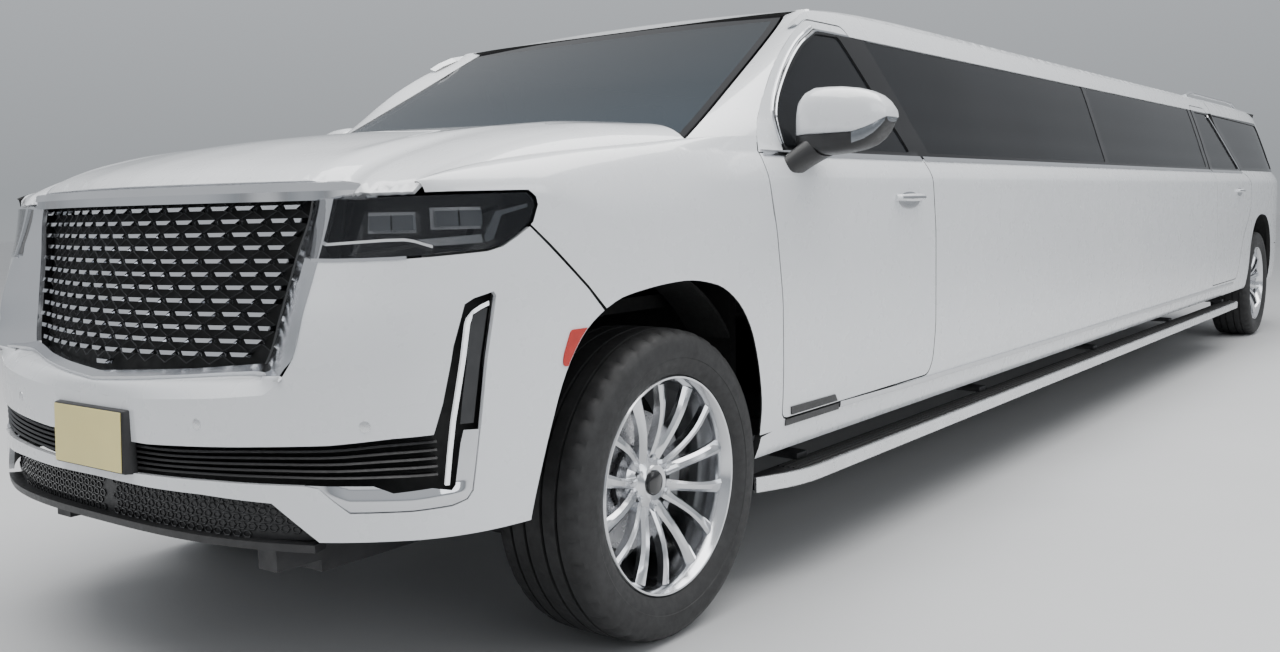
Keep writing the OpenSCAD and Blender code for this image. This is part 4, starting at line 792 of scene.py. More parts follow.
def grille():
    # black mesh behind, fine wire chevrons, and thirteen rows of bright dashes
    GE = mono([0.786,0.816,0.927,1.05,1.166,1.182], [0.37,0.508,0.537,0.563,0.592,0.592])
    ZB_ = lambda y: float(np.interp(abs(y), [0,0.329,0.508,0.6], [0.788,0.806,0.820,0.826]))
    B = Bag(); D = Bag()
    gy = np.linspace(-0.66, 0.66, 61); gz = np.linspace(0.770, 1.195, 9)
    bk = np.array([[(grille_x(y, z)-0.030, y, z) for y in gy] for z in gz])
    grid_piece("grille_back", bk, mats=("black_matte",)*3, th=0.008, ref=(1, 0, 0), both=False)
    rows = 13; z1, z0 = 1.168, 0.806; pz = (z1-z0)/(rows-1); wy = 0.0675
    for r in range(rows):
        z = z1-r*pz; off = 0.5*(r % 2)
        for k in range(-12, 13):
            y = (k+off)*wy
            e = float(GE(z))-0.016
            zb = ZB_(y)+0.012
            if z-0.006 < zb: continue
            hw0, hw1 = 0.0265, 0.0165
            yl0, yr0 = max(y-hw0, -e), min(y+hw0, e); yl1, yr1 = max(y-hw1, -e), min(y+hw1, e)
            if yr0-yl0 < 0.010: continue
            if yr1 <= yl1: yl1 = yr1 = (yl0+yr0)/2
            t, b = z+0.0075, z-0.0062
            X = lambda yy, zz, d: (float(grille_x(yy, zz))+d, yy, zz)
            # faceted: flat upper face, chamfered lower face
            back = [X(yl0, t, -0.014), X(yr0, t, -0.014), X(yr1, b, -0.014), X(yl1, b, -0.014)]
            fr = [X(yl0+0.001, t-0.001, 0.004), X(yr0-0.001, t-0.001, 0.004), X(yr1-0.0005, b+0.0035, 0.0065), X(yl1+0.0005, b+0.0035, 0.0065)]
            D.hexa(back, fr, 0)
    # wires
    for r in range(rows+1):
        z = z1+pz/2-r*pz
        for k in range(-20, 20):
            y = k*wy/2; y2 = y+wy/2; up = (k+r) % 2
            za, zb2 = (z+pz*0.32, z-pz*0.32) if up else (z-pz*0.32, z+pz*0.32)
            e = float(GE(np.clip(z, 0.79, 1.18)))-0.004
            if max(abs(y), abs(y2)) > e or min(za, zb2) < ZB_(y)+0.002: continue
            p = [(float(grille_x(y, za))-0.021, y, za), (float(grille_x(y2, zb2))-0.021, y2, zb2)]
            B.tube([XA(p[0]), XA(p[1])], 0.0016, 5, 0)
    for v in D.v: v[:, 0] += XF
    D.done("grille_dashes", ["chrome"], slot="body_white", smooth_deg=15)
    B.done("grille_mesh", ["wire"], smooth_deg=60)
    # black border
    X = lambda y, z, d: (float(grille_x(y, z))+d, y, z)
    zz = np.linspace(0.812, 1.182, 40)
    bd = np.array([[X(float(GE(z))-0.004+t*0.055, z, -0.004+0.006*t) for t in (0, 0.5, 1)] for z in zz])
    grid_piece("grille_border", bd, mats=("black_gloss",)*3, th=0.02, ref=(1, 0, 0))
    # chrome side bars: two facets from the border to the skin
    so = mono([0.800,0.824,0.845,0.950,1.038,1.060,1.200],[0.636,0.655,0.674,0.698,0.716,0.720,0.748])
    L = []
    for z in np.linspace(0.802, 1.186, 22):
        e = float(GE(max(z, 0.816)))+0.012; p = np.array(X(e, z, 0.004))
        q = surf(float(so(z)), z)
        m = p*0.52+q*0.48; n = np.array([0.90, 0.40, 0.0]); m = m+n*0.014
        L.append([p-np.array([0.02, 0, 0]), p, m, q+np.array([0.0015, 0.001, 0]), q-np.array([0.018, 0.008, 0])])
    L = np.array(L)
    def bar(name, L, mats):
        # facets with their own corners
        h = L.shape[0]; 
        for side_ in (1, -1):
            V = []; F = []; N = []; b = 0
            for c in range(L.shape[1]-1):
                s0 = L[:, c], L[:, c+1]
                for i in range(h-1):
                    q = [s0[0][i], s0[1][i], s0[1][i+1], s0[0][i+1]]; q = [XA(x) for x in q]
                    if side_ < 0: q = [x*np.array([1, -1, 1]) for x in q][::-1]
                    g = np.cross(q[1]-q[0], q[2]-q[0]); 
                    V += q; N += [g/max(np.linalg.norm(g), 1e-12)]*4; F.append((b, b+1, b+2, b+3)); b += 4
            Vn = np.array(V); Nn = np.array(N)
            add(name+("_left" if side_ > 0 else "_right"), Vn, F, None, "root", None, None, mats=mats, flat=True)
    # closed solid bars instead of open strips
    def solid(name, rings, mats, slot=None, both=True, smooth_deg=25, body="root"):
        rings = np.asarray(rings, float); h, w = rings.shape[:2]
        for sg in ((1, -1) if both else (1,)):
            B = Bag(); v = XA(rings.reshape(-1, 3)) if sg > 0 else mirror_y(XA(rings.reshape(-1, 3)))
            f = []
            for i in range(h-1):
                for j in range(w): f.append((i*w+j, i*w+(j+1) % w, (i+1)*w+(j+1) % w, (i+1)*w+j))
            f.append(tuple(range(w))); f.append(tuple(range((h-1)*w, h*w)))
            B.put(v, f, 0); B.done(name+("" if not both else "_left" if sg > 0 else "_right"), mats, body, slot, smooth_deg)
    globals()["solid"] = solid
    solid("grille_bar_side", L, ["chrome_soft"], slot="body_white", smooth_deg=18)
    # chrome bar across the top
    T = []
    for y in np.linspace(-0.735, 0.735, 61):
        ay = abs(y); x = float(np.interp(ay, [0,0.2,0.353,0.5,0.626,0.69,0.735], [0.908,0.890,0.860,0.830,0.797,0.778,0.760]))
        xb = float(grille_x(min(ay, 0.6), 1.181))+0.018+0*ay - (max(ay-0.6, 0))*0.45
        tp = 1.226-0.010*smooth(ay, 0.66, 0.735); zb_ = 1.182
        T.append([(x-0.004, y, tp), (x+0.010, y, tp-0.003), ((x+xb)/2+0.012, y, 1.204), (xb+0.004, y, zb_+0.001), (xb-0.02, y, zb_), (x-0.03, y, 1.20)])
    solid("grille_bar_top", T, ["chrome"], slot="body_white", both=False, smooth_deg=16)
    # chrome V across the foot
    Vv = []
    for y in np.linspace(-0.585, 0.585, 61):
        ay = abs(y); zt = float(np.interp(ay, [0,0.329,0.508,0.6], [0.786,0.805,0.820,0.826]))
        zl = float(np.interp(ay, [0,0.2,0.4,0.5,0.585], [0.764,0.776,0.790,0.796,0.802]))
        xt = float(grille_x(ay, zt)); xl = xt+0.020
        if ay > 0.50:
            w = (ay-0.50)/0.085; e = surf(0.648, 0.806); xl = xl*(1-w)+e[0]*w+0.001; xt = min(xt, xl-0.012)
        Vv.append([(xt-0.022, y, zt+0.001), (xt+0.004, y, zt), (xl+0.005, y, (zt+zl)/2-0.002), (xl+0.001, y, zl-0.001), (xl-0.03, y, zl-0.002)])
    solid("grille_foot", Vv, ["chrome_soft"], slot="body_white", both=False, smooth_deg=16)
def fascia():
    # dark recess behind the intake and slots
    S = np.linspace(0, 1.16, 50); Z = np.linspace(0.495, 0.985, 26)
    def rec(d):
        def f(s, z): 
            s = np.asarray(s, float); q = NOSE.at(s); n = NOSE.nrm(s); i = inset(s, z)+d
            return XA(np.stack([q[..., 0]-n[..., 0]*i, q[..., 1]-n[..., 1]*i, np.asarray(z, float)], -1))
        return f
    big = grow(HOLE, 0.02); big = np.array([(max(p[0], 0), p[1]) for p in big]); 
    q = []
    for p in big:
        if not q or np.hypot(q[-1][0]-p[0], q[-1][1]-p[1]) > 1e-4: q.append(tuple(p))
    skin("intake_back", [q], lambda u, v: inside(q, u, v), S, Z, rec(0.055), nref, 0.006, mats=("black_matte",)*3)
    # louvres of the upper intake
    B = Bag()
    zt = mono([0,0.225,0.561,0.752,0.893,0.985],[0.630,0.629,0.647,0.656,0.670,0.674]); zb = mono([0,0.131,0.437,0.684,0.72,0.985],[0.552,0.552,0.562,0.566,0.566,0.566])
    for k in range(1, 6):
        t = k/6.0; ring = []
        for s in np.linspace(0, 0.985, 44):
            z = float(zt(s))*(1-t)+float(zb(s))*t
            P0 = rec(0.012)(s, z+0.0035); P1 = rec(0.008)(s, z-0.001); P2 = rec(0.042)(s, z-0.006); P3 = rec(0.042)(s, z+0.001)
            ring.append([P0-np.array([XF, 0, 0]), P1-np.array([XF, 0, 0]), P2-np.array([XF, 0, 0]), P3-np.array([XF, 0, 0])])
        solid("intake_louvre%d" % k, ring, ["black_plastic"], smooth_deg=20)
    # lower intake: dark mesh panel, with a chin below it
    low = np.array([(0,0.5285),(0.214,0.5265),(0.407,0.5295),(0.603,0.5235),(0.705,0.450),(0.682,0.436),(0.358,0.428),(0,0.424)])
    skin("lower_mesh", [low], lambda u, v: inside(low, u, v), np.arange(0, 0.72, 0.03), np.linspace(0.43, 0.525, 7), rec(0.030), nref, 0.008, mats=("black_plastic",)*3)
    B = Bag()
    for r in range(5):
        z = 0.440+r*0.0185
        for k in range(22):
            s = 0.03+(k+0.5*(r % 2))*0.030
            if not inside(grow(low, -0.008), np.array([s]), np.array([z]))[0]: continue
            c = rec(0.0285)(s, z); n = np.append(NOSE.nrm(s), 0); t = np.cross([0, 0, 1], n)
            pts = [c+t*0.0115*math.cos(x)+np.array([0, 0, 1])*0.0082*math.sin(x) for x in np.linspace(0, 2*np.pi, 6, endpoint=False)]
            for sg in (1, -1):
                p2 = [p*np.array([1, sg, 1]) for p in pts]
                B.tube(np.array(p2+[p2[0]]), 0.0017, 5, 0, closed=False)
    B.done("lower_mesh_cells", ["black_gloss"], smooth_deg=60)
    ring = []
    for s in np.linspace(0, 0.705, 36):
        P = [rec(-0.001)(s, 0.434), rec(0.001)(s, 0.416), rec(0.05)(s, 0.414), rec(0.05)(s, 0.432)]
        ring.append([p-np.array([XF, 0, 0]) for p in P])
    solid("chin", ring, ["black_plastic"], smooth_deg=20)
    # vertical lamp slot: light line, dark guide, bright end piece and the blade along the bottom
    inn = mono([0.56,0.673,0.697,0.832,0.856,0.950],[0.972,0.984,0.989,1.022,1.027,1.058])
    Lc = [(1.118,0.951,0.010),(1.098,0.944,0.010),(1.079,0.934,0.010),(1.070,0.920,0.010),(1.065,0.908,0.010),(1.051,0.831,0.010),(1.034,0.749,0.010),(1.024,0.702,0.010),(1.013,0.63,0.010),(1.004,0.560,0.010)]
    off = np.array([XF, 0, 0])
    R = []
    for i, (s, z, d) in enumerate(Lc):
        w = 0.0048; P = rec(0.004)(s-w, z) ; Q = rec(0.004)(s+w, z)
        if i < 3: P = rec(0.004)(s, z+w); Q = rec(0.004)(s, z-w); P, Q = Q, P
        R.append([P-off, Q-off, (rec(0.016)(s+(w if i > 2 else 0), z)-off), (rec(0.016)(s-(w if i > 2 else 0), z)-off)])
    solid("lamp_line", R, ["led"], slot="lamp_glass", smooth_deg=30)
    gd = np.array([(1.062,0.905),(1.084,0.936),(1.118,0.940),(1.094,0.826),(1.072,0.690),(1.040,0.690),(1.048,0.747),(1.062,0.829)])
    skin("lamp_guide", [gd], lambda u, v: inside(gd, u, v), np.linspace(1.03, 1.12, 8), np.linspace(0.69, 0.94, 16), rec(0.012), nref, 0.006, mats=("wire", "black_plastic", "black_plastic"))
    for k in range(11):
        z = 0.70+k*0.021; s0 = 1.042+(z-0.69)*0.155; s1 = 1.072+(z-0.69)*0.165
        solid("lamp_rib%02d" % k, [[rec(0.009)(s, z+0.003)-off, rec(0.009)(s, z-0.003)-off, rec(0.014)(s, z-0.005)-off, rec(0.014)(s, z+0.005)-off] for s in np.linspace(s0, s1, 4)], ["satin_chrome"], smooth_deg=20) if False else None
    bl = np.array([(0.684,0.5655),(0.843,0.566),(0.887,0.550),(0.971,0.557),(1.012,0.549),(1.022,0.560),(1.037,0.650),(1.045,0.678),(1.083,0.676),(1.060,0.543),(1.047,0.5265),(1.012,0.5155),(0.927,0.5105),(0.789,0.5085),(0.718,0.561)])
    def blade(s, z):
        s = np.asarray(s, float); z = np.asarray(z, float)
        ridge = np.interp(s, [0.68,0.79,0.93,1.05,1.09], [0.5635,0.533,0.533,0.543,0.60])
        h = 0.007*np.clip(1-(np.sqrt((z-ridge)**2+0.000016)-0.004)/0.022, 0, 1)*smooth(s, 0.70, 0.80)*(1-smooth(s, 1.02, 1.06))
        q = NOSE.at(s); n = NOSE.nrm(s); i = inset(s, z)+0.004-h
        return XA(np.stack([q[..., 0]-n[..., 0]*i, q[..., 1]-n[..., 1]*i, z], -1))
    skin("chrome_blade", [bl], lambda u, v: inside(bl, u, v), np.linspace(0.69, 1.085, 90), np.linspace(0.51, 0.676, 44), blade, nref, 0.010, mats=("chrome",)*3, slot="body_white")
    # parking sensors: plain round buttons
    B = Bag()
    for s, z in ((0.832, 0.697), (0.405, 0.690)):
        for sg in (1, -1):
            c = rec(-0.0015)(s, z); n = np.append(NOSE.nrm(s), 0); t = np.cross([0, 0, 1], n); u = np.array([0, 0, 1.0])
            ring = lambda r, d: [(c-n*d+t*r*math.cos(x)+u*r*math.sin(x))*np.array([1, sg, 1]) for x in np.linspace(0, 2*np.pi, 20, endpoint=False)]
            V = np.array(ring(0.0125, 0.004)+ring(0.0125, 0.0005)+ring(0.0108, 0.0)+ring(0.0108, 0.01)); f = []
            for a in range(3):
                for j in range(20): f.append((a*20+j, a*20+(j+1) % 20, (a+1)*20+(j+1) % 20, (a+1)*20+j))
            f.append(tuple(range(20))); f.append(tuple(range(60, 80)))
            B.put(V[:60].tolist(), [q for q in f if max(q) < 60]+[tuple(range(40, 60))], 0)
    B.done("sensors", ["silver_edge"], smooth_deg=30)
    # plate holder and blank plate
    B = Bag()
    B.hexa([(1.016, -0.166, 0.548), (1.016, 0.166, 0.548), (1.016, 0.166, 0.706), (1.016, -0.166, 0.706)], [(1.050, -0.158, 0.552), (1.050, 0.158, 0.552), (1.044, 0.158, 0.702), (1.044, -0.158, 0.702)], 0)
    for v in B.v: v[:, 0] += XF
    o = B.done("plate_holder", ["black_plastic"]); bevel(o, 0.004, 2)
    B = Bag()
    B.hexa([(1.0505, -0.152, 0.556), (1.0505, 0.152, 0.556), (1.0445, 0.152, 0.699), (1.0445, -0.152, 0.699)], [(1.0530, -0.152, 0.556), (1.0530, 0.152, 0.556), (1.0470, 0.152, 0.699), (1.0470, -0.152, 0.699)], 0)
    for v in B.v: v[:, 0] += XF
    o = B.done("front_plate", ["plate"]); bevel(o, 0.0006, 1)
def headlamps():
    def rec(d):
        def f(s, z):
            s = np.asarray(s, float); z = np.asarray(z, float); q = NOSE.at(s); n = NOSE.nrm(s); i = inset(s, z)+d
            return XA(np.stack([q[..., 0]-n[..., 0]*i, q[..., 1]-n[..., 1]*i, z], -1))
        return f
    off = np.array([XF, 0, 0]); L = round_poly(grow(LAMP, -0.001), 3, 0.006)
    skin("headlamp_lens", [L], lambda u, v: inside(L, u, v), np.arange(0.67, 1.26, 0.022), np.linspace(1.06, 1.19, 10), rec(0.0), nref, 0.004, mats=("lens",)*3, slot="lamp_glass")
    G = grow(LAMP, -0.002)
    skin("headlamp_bowl", [G], lambda u, v: inside(G, u, v), np.arange(0.67, 1.26, 0.03), np.linspace(1.06, 1.19, 8), rec(0.075), nref, 0.004, mats=("black_gloss",)*3)
    # walls of the bowl
    GP = np.array([tuple(p) for p in grow(LAMP, -0.003)]); n = len(GP)
    rg = [[rec(d)(p[0], p[1])-off for p in GP] for d in (0.005, 0.03, 0.075)]
    V = XA(np.array(rg).reshape(-1, 3)); F = []
    for i in range(2):
        for j in range(n): F.append((i*n+j, i*n+(j+1) % n, (i+1)*n+(j+1) % n, (i+1)*n+j))
    for sg, nm in ((1, "left"), (-1, "right")):
        VV = V if sg > 0 else mirror_y(V)
        VO = VV.copy()
        # doubled wall, 1.5 mm thick
        c = VV.mean(0); D = VV-c; D[:, 0] = 0; D /= np.linalg.norm(D, axis=1)[:, None]
        V2 = np.concatenate([VV, VV+D*0.0012]); k = len(VV)
        F2 = F+[tuple(x+k for x in f[::-1]) for f in F]+[(j, (j+1) % n, k+(j+1) % n, k+j) for j in range(n)]+[(2*n+j, k+2*n+j, k+2*n+(j+1) % n, 2*n+(j+1) % n) for j in range(n)]
        B = Bag(); B.put(V2, F2, 0); B.done("headlamp_wall_"+nm, ["black_gloss"], smooth_deg=40)
    def block(name, s0, s1, z0_, z1_, d0, d1, mats, sm=20):
        R = []
        for s in np.linspace(s0, s1, 5):
            R.append([rec(d0)(s, z1_)-off, rec(d0)(s, z0_)-off, rec(d1)(s, z0_)-off, rec(d1)(s, z1_)-off])
        solid(name, R, mats, smooth_deg=sm)
    for i, (s0, s1, za, zb_) in enumerate(((0.838, 0.955, 1.114, 1.146), (1.008, 1.120, 1.120, 1.154))):
        block("projector_frame%d" % i, s0-0.008, s1+0.008, za-0.007, zb_+0.007, 0.040, 0.072, ["satin_chrome"])
        block("projector%d" % i, s0, s1, za, zb_, 0.020, 0.044, ["lamp_inner"])
        block("projector_split%d" % i, (s0+s1)/2-0.002, (s0+s1)/2+0.002, za, zb_, 0.018, 0.044, ["black_gloss"])
    # light line along the lower edge, silver lower reflector, L-shaped guide
    ln = [(0.690, 1.084), (0.75, 1.087), (0.814, 1.090), (0.880, 1.093), (0.930, 1.0935), (0.955, 1.090), (0.998, 1.077)]
    solid("headlamp_line", [[rec(0.014)(s, z+0.003)-off, rec(0.014)(s, z-0.003)-off, rec(0.024)(s, z-0.003)-off, rec(0.024)(s, z+0.003)-off] for s, z in ln], ["led"], smooth_deg=40)
    sl = np.array([(0.962,1.093),(1.115,1.101),(1.118,1.083),(1.003,1.0785)])
    skin("headlamp_silver", [sl], lambda u, v: inside(sl, u, v), np.linspace(0.96, 1.12, 9), np.linspace(1.08, 1.10, 4), rec(0.018), nref, 0.008, mats=("reflector",)*3)
    lg = np.array([(1.122,1.083),(1.119,1.096),(1.150,1.150),(1.236,1.166),(1.238,1.158),(1.165,1.142),(1.142,1.090)])
    skin("headlamp_guide", [lg], lambda u, v: inside(lg, u, v), np.linspace(1.12, 1.24, 9), np.linspace(1.085, 1.165, 7), rec(0.012), nref, 0.008, mats=("lamp_inner",)*3)
    # thin bright strip under the lamp
    st = [(0.700,1.0535),(0.76,1.0525),(0.830,1.0530),(0.900,1.0545),(0.935,1.0560)]
    solid("headlamp_strip", [[rec(-0.002)(s, z+0.0035)-off, rec(-0.002)(s, z-0.0035)-off, rec(0.010)(s, z-0.0035)-off, rec(0.010)(s, z+0.0035)-off] for s, z in st], ["chrome"], smooth_deg=40)
# ------------------------------------------------------------------ glass and pillars
WE = mono([1.320,1.384,1.466,1.554,1.648,1.750,1.800],[-0.232,-0.353,-0.508,-0.671,-0.843,-1.025,-1.112])
WY = mono([1.320,1.384,1.50,1.65,1.75,1.80],[0.866,0.850,0.812,0.764,0.730,0.706])
WB_ = mono([1.32,1.80],[0.088,0.052])
def wscreen(y, z):
    y = np.asarray(y, float); z = np.asarray(z, float)
    return XA(np.stack([WE(z)+WB_(z)*(1-np.clip(np.abs(y)/WY(z), 0, 1.2)**2), y, z], -1))
def glass():
    zz = np.linspace(1.335, 1.788, 22); T = 1
    poly = np.array([(float(WY(z))-0.004, z) for z in zz]+[(-float(WY(z))+0.004, z) for z in zz[::-1]]); pin_ = grow(poly, -0.024)
    skin("windscreen", [poly, pin_], lambda u, v: inside(poly, u, v), np.linspace(-0.86, 0.86, 45), np.linspace(1.34, 1.785, 26), wscreen, (1, 0, 0.6), 0.005,
         mats=("glass_front", "glass_front", "ceramic", "ceramic"), both=False, slot="screen_glass", fm=lambda u, v: np.where(inside(pin_, u, v), 0, 3), sub=0.02)
    pin = lambda P, d: grow(P, -d)
    dy = lambda d: (lambda u, v: side(u, v)-np.array([0, d, 0]))
    for nm, W, body, sl in (("door_glass_front", FDW, ("front_door_left", "front_door_right"), "privacy_glass"), ("door_glass_rear", RDW, ("rear_door_left", "rear_door_right"), "privacy_glass"), ("side_glass_a", SW1, "root", "privacy_glass"), ("side_glass_b", SW2, "root", "privacy_glass")):
        W2 = grow(round_poly(W, 4, 0.018), 0.006)
        skin(nm, [W2], lambda u, v: inside(W2, u, v), np.arange(W2[:, 0].min(), W2[:, 0].max(), 0.08), np.linspace(1.32, 1.72, 12), dy(0.006), (0, 1, 0), 0.005, mats=("glass_dark",)*3, body=body, slot=sl)
    # A-pillar: from the windscreen edge round to the door line
    DL = np.array([(1.300,-0.474),(1.312,-0.478),(1.372,-0.498),(1.455,-0.572),(1.588,-0.727),(1.700,-0.910),(1.745,-1.010),(1.790,-1.10)])
    AD = mono(DL[:, 0], DL[:, 1]+0.004)
    rows = []
    for z in np.linspace(1.330, 1.796, 40):
        w = np.array([float(WE(z))-0.004, float(WY(z))+0.006, z]); 
        dz = min(z, 1.8)
        q = np.array([float(AD(dz)), float(Y_GH(dz)), z])
        r = []
        for t in np.linspace(0, 1, 9):
            p = w*(1-t)+q*t; nrm = np.array([0.35, 0.85, 0.25]); b = 0.020*math.sin(math.pi*t)**0.8
            r.append(p+nrm*b*(0.6))
        rows.append(r)
    grid_piece("pillar_a", np.array(rows), mats=("white", "trim_soft", "white"), th=0.022, ref=(0.3, 0.9, 0.2), slot="body_white")
    # scuttle cover between hood and screen, with wipers
    rows = []
    for t in np.linspace(0, 1, 8):
        rows.append([(-0.158-0.115*t+0.078*(1-min(1, abs(y)/0.86)**2)*t, y, 1.350-0.012*t-0.018*smooth(abs(y), 0.5, 0.945)*(1-t)) for y in np.linspace(-0.942, 0.942, 41)])
    grid_piece("scuttle", np.array(rows), mats=("black_plastic",)*3, th=0.006, ref=(0, 0, 1), both=False)
    for nm, y0, y1 in (("wiper_left", 0.62, -0.02), ("wiper_right", 0.02, -0.62)):
        B = Bag(); pts = []
        for t in np.linspace(0, 1, 12):
            y = y0+(y1-y0)*t; z = 1.352+0.016*t
            p = wscreen(y, z); p = p+np.array([0.010, 0, 0.006]); pts.append(p)
        B.tube(np.array(pts), 0.006, 8, 0)
        a0 = wscreen(y0+0.02, 1.345)+np.array([0.02, 0, 0.008]); a1 = wscreen((y0+y1)/2, 1.362)+np.array([0.016, 0, 0.012])
        B.tube(np.array([a0, (a0+a1)/2+np.array([0.004, 0, 0.004]), a1]), 0.007, 8, 0)
        B.done(nm, ["black_plastic"], smooth_deg=50)
    # bright strips: belt, and round the front door glass
    def strip(name, pts, w, d, mats, body="root", out=0.0, slot="body_white"):
        R = []
        for i, (a, z) in enumerate(pts):
            p0 = pts[max(i-1, 0)]; p1 = pts[min(i+1, len(pts)-1)]
            t = np.array([p1[0]-p0[0], p1[1]-p0[1]]); t /= np.linalg.norm(t); n = np.array([-t[1], t[0]])
            A = side(a+n[0]*w/2, z+n[1]*w/2)-np.array([XF, 0, 0]); Bp = side(a-n[0]*w/2, z-n[1]*w/2)-np.array([XF, 0, 0])
            o = np.array([0, out, 0]); R.append([A+o-np.array([0, d, 0]), A+o, (A+Bp)/2+o+np.array([0, 0.0015, 0]), Bp+o, Bp+o-np.array([0, d, 0])])
        for sg, bd in ((1, body if isinstance(body, str) else body[0]), (-1, body if isinstance(body, str) else body[1])):
            rr = np.array(R); h, k = rr.shape[:2]; v = XA(rr.reshape(-1, 3)); v = v if sg > 0 else mirror_y(v)
            f = [(i*k+j, i*k+(j+1) % k, (i+1)*k+(j+1) % k, (i+1)*k+j) for i in range(h-1) for j in range(k)]+[tuple(range(k)), tuple(range((h-1)*k, h*k))]
            B = Bag(); B.put(v, f, 0); B.done(name+("_left" if sg > 0 else "_right"), mats, bd, slot, 25)
    globals()["strip"] = strip
    zb = 1.3005
    strip("belt_front_door", [(a, zb) for a in np.linspace(-0.478, -1.590, 24)], 0.017, 0.010, ["chrome"], ("front_door_left", "front_door_right"), 0.004)
    strip("belt_stretch", [(a, zb) for a in np.linspace(-1.612, -6.400-DZ, 70)], 0.017, 0.010, ["chrome"], "root", 0.004)
    strip("belt_rear_door", [(a, zb) for a in np.linspace(-6.420-DZ, -7.462-DZ, 20)], 0.017, 0.010, ["chrome"], ("rear_door_left", "rear_door_right"), 0.004)
    # two bright lines up the front of the door glass and along its top
    q = [(-0.625,1.316),(-0.618,1.345),(-0.622,1.400),(-0.640,1.436),(-0.760,1.553),(-0.925,1.662),(-1.055,1.718),(-1.20,1.7215)]
    for i, dd in enumerate((0.0, 0.020)):
        L = [np.array(p)+np.array([dd*0.75, dd*0.6]) for p in (q[:7] if i else q[:7]+[(-1.06, 1.7205), (-1.30, 1.7225)])]
        L = smooth_arch(np.array([(p[0], p[1]) for p in L]), 40)
        strip("door_glass_line%d" % i, [tuple(p) for p in L], 0.007, 0.006, ["chrome"], ("front_door_left", "front_door_right"), 0.0035)
    q = [(-1.535, 1.313), (-1.38, 1.516), (-1.235, 1.706)]
    # bright diagonal strip by the rear door glass
    strip("rear_diagonal", [(-6.905-DZ+(-0.50)*t, 1.700-0.378*t) for t in np.linspace(0, 1, 14)], 0.020, 0.006, ["chrome"], ("rear_door_left", "rear_door_right"), 0.003)
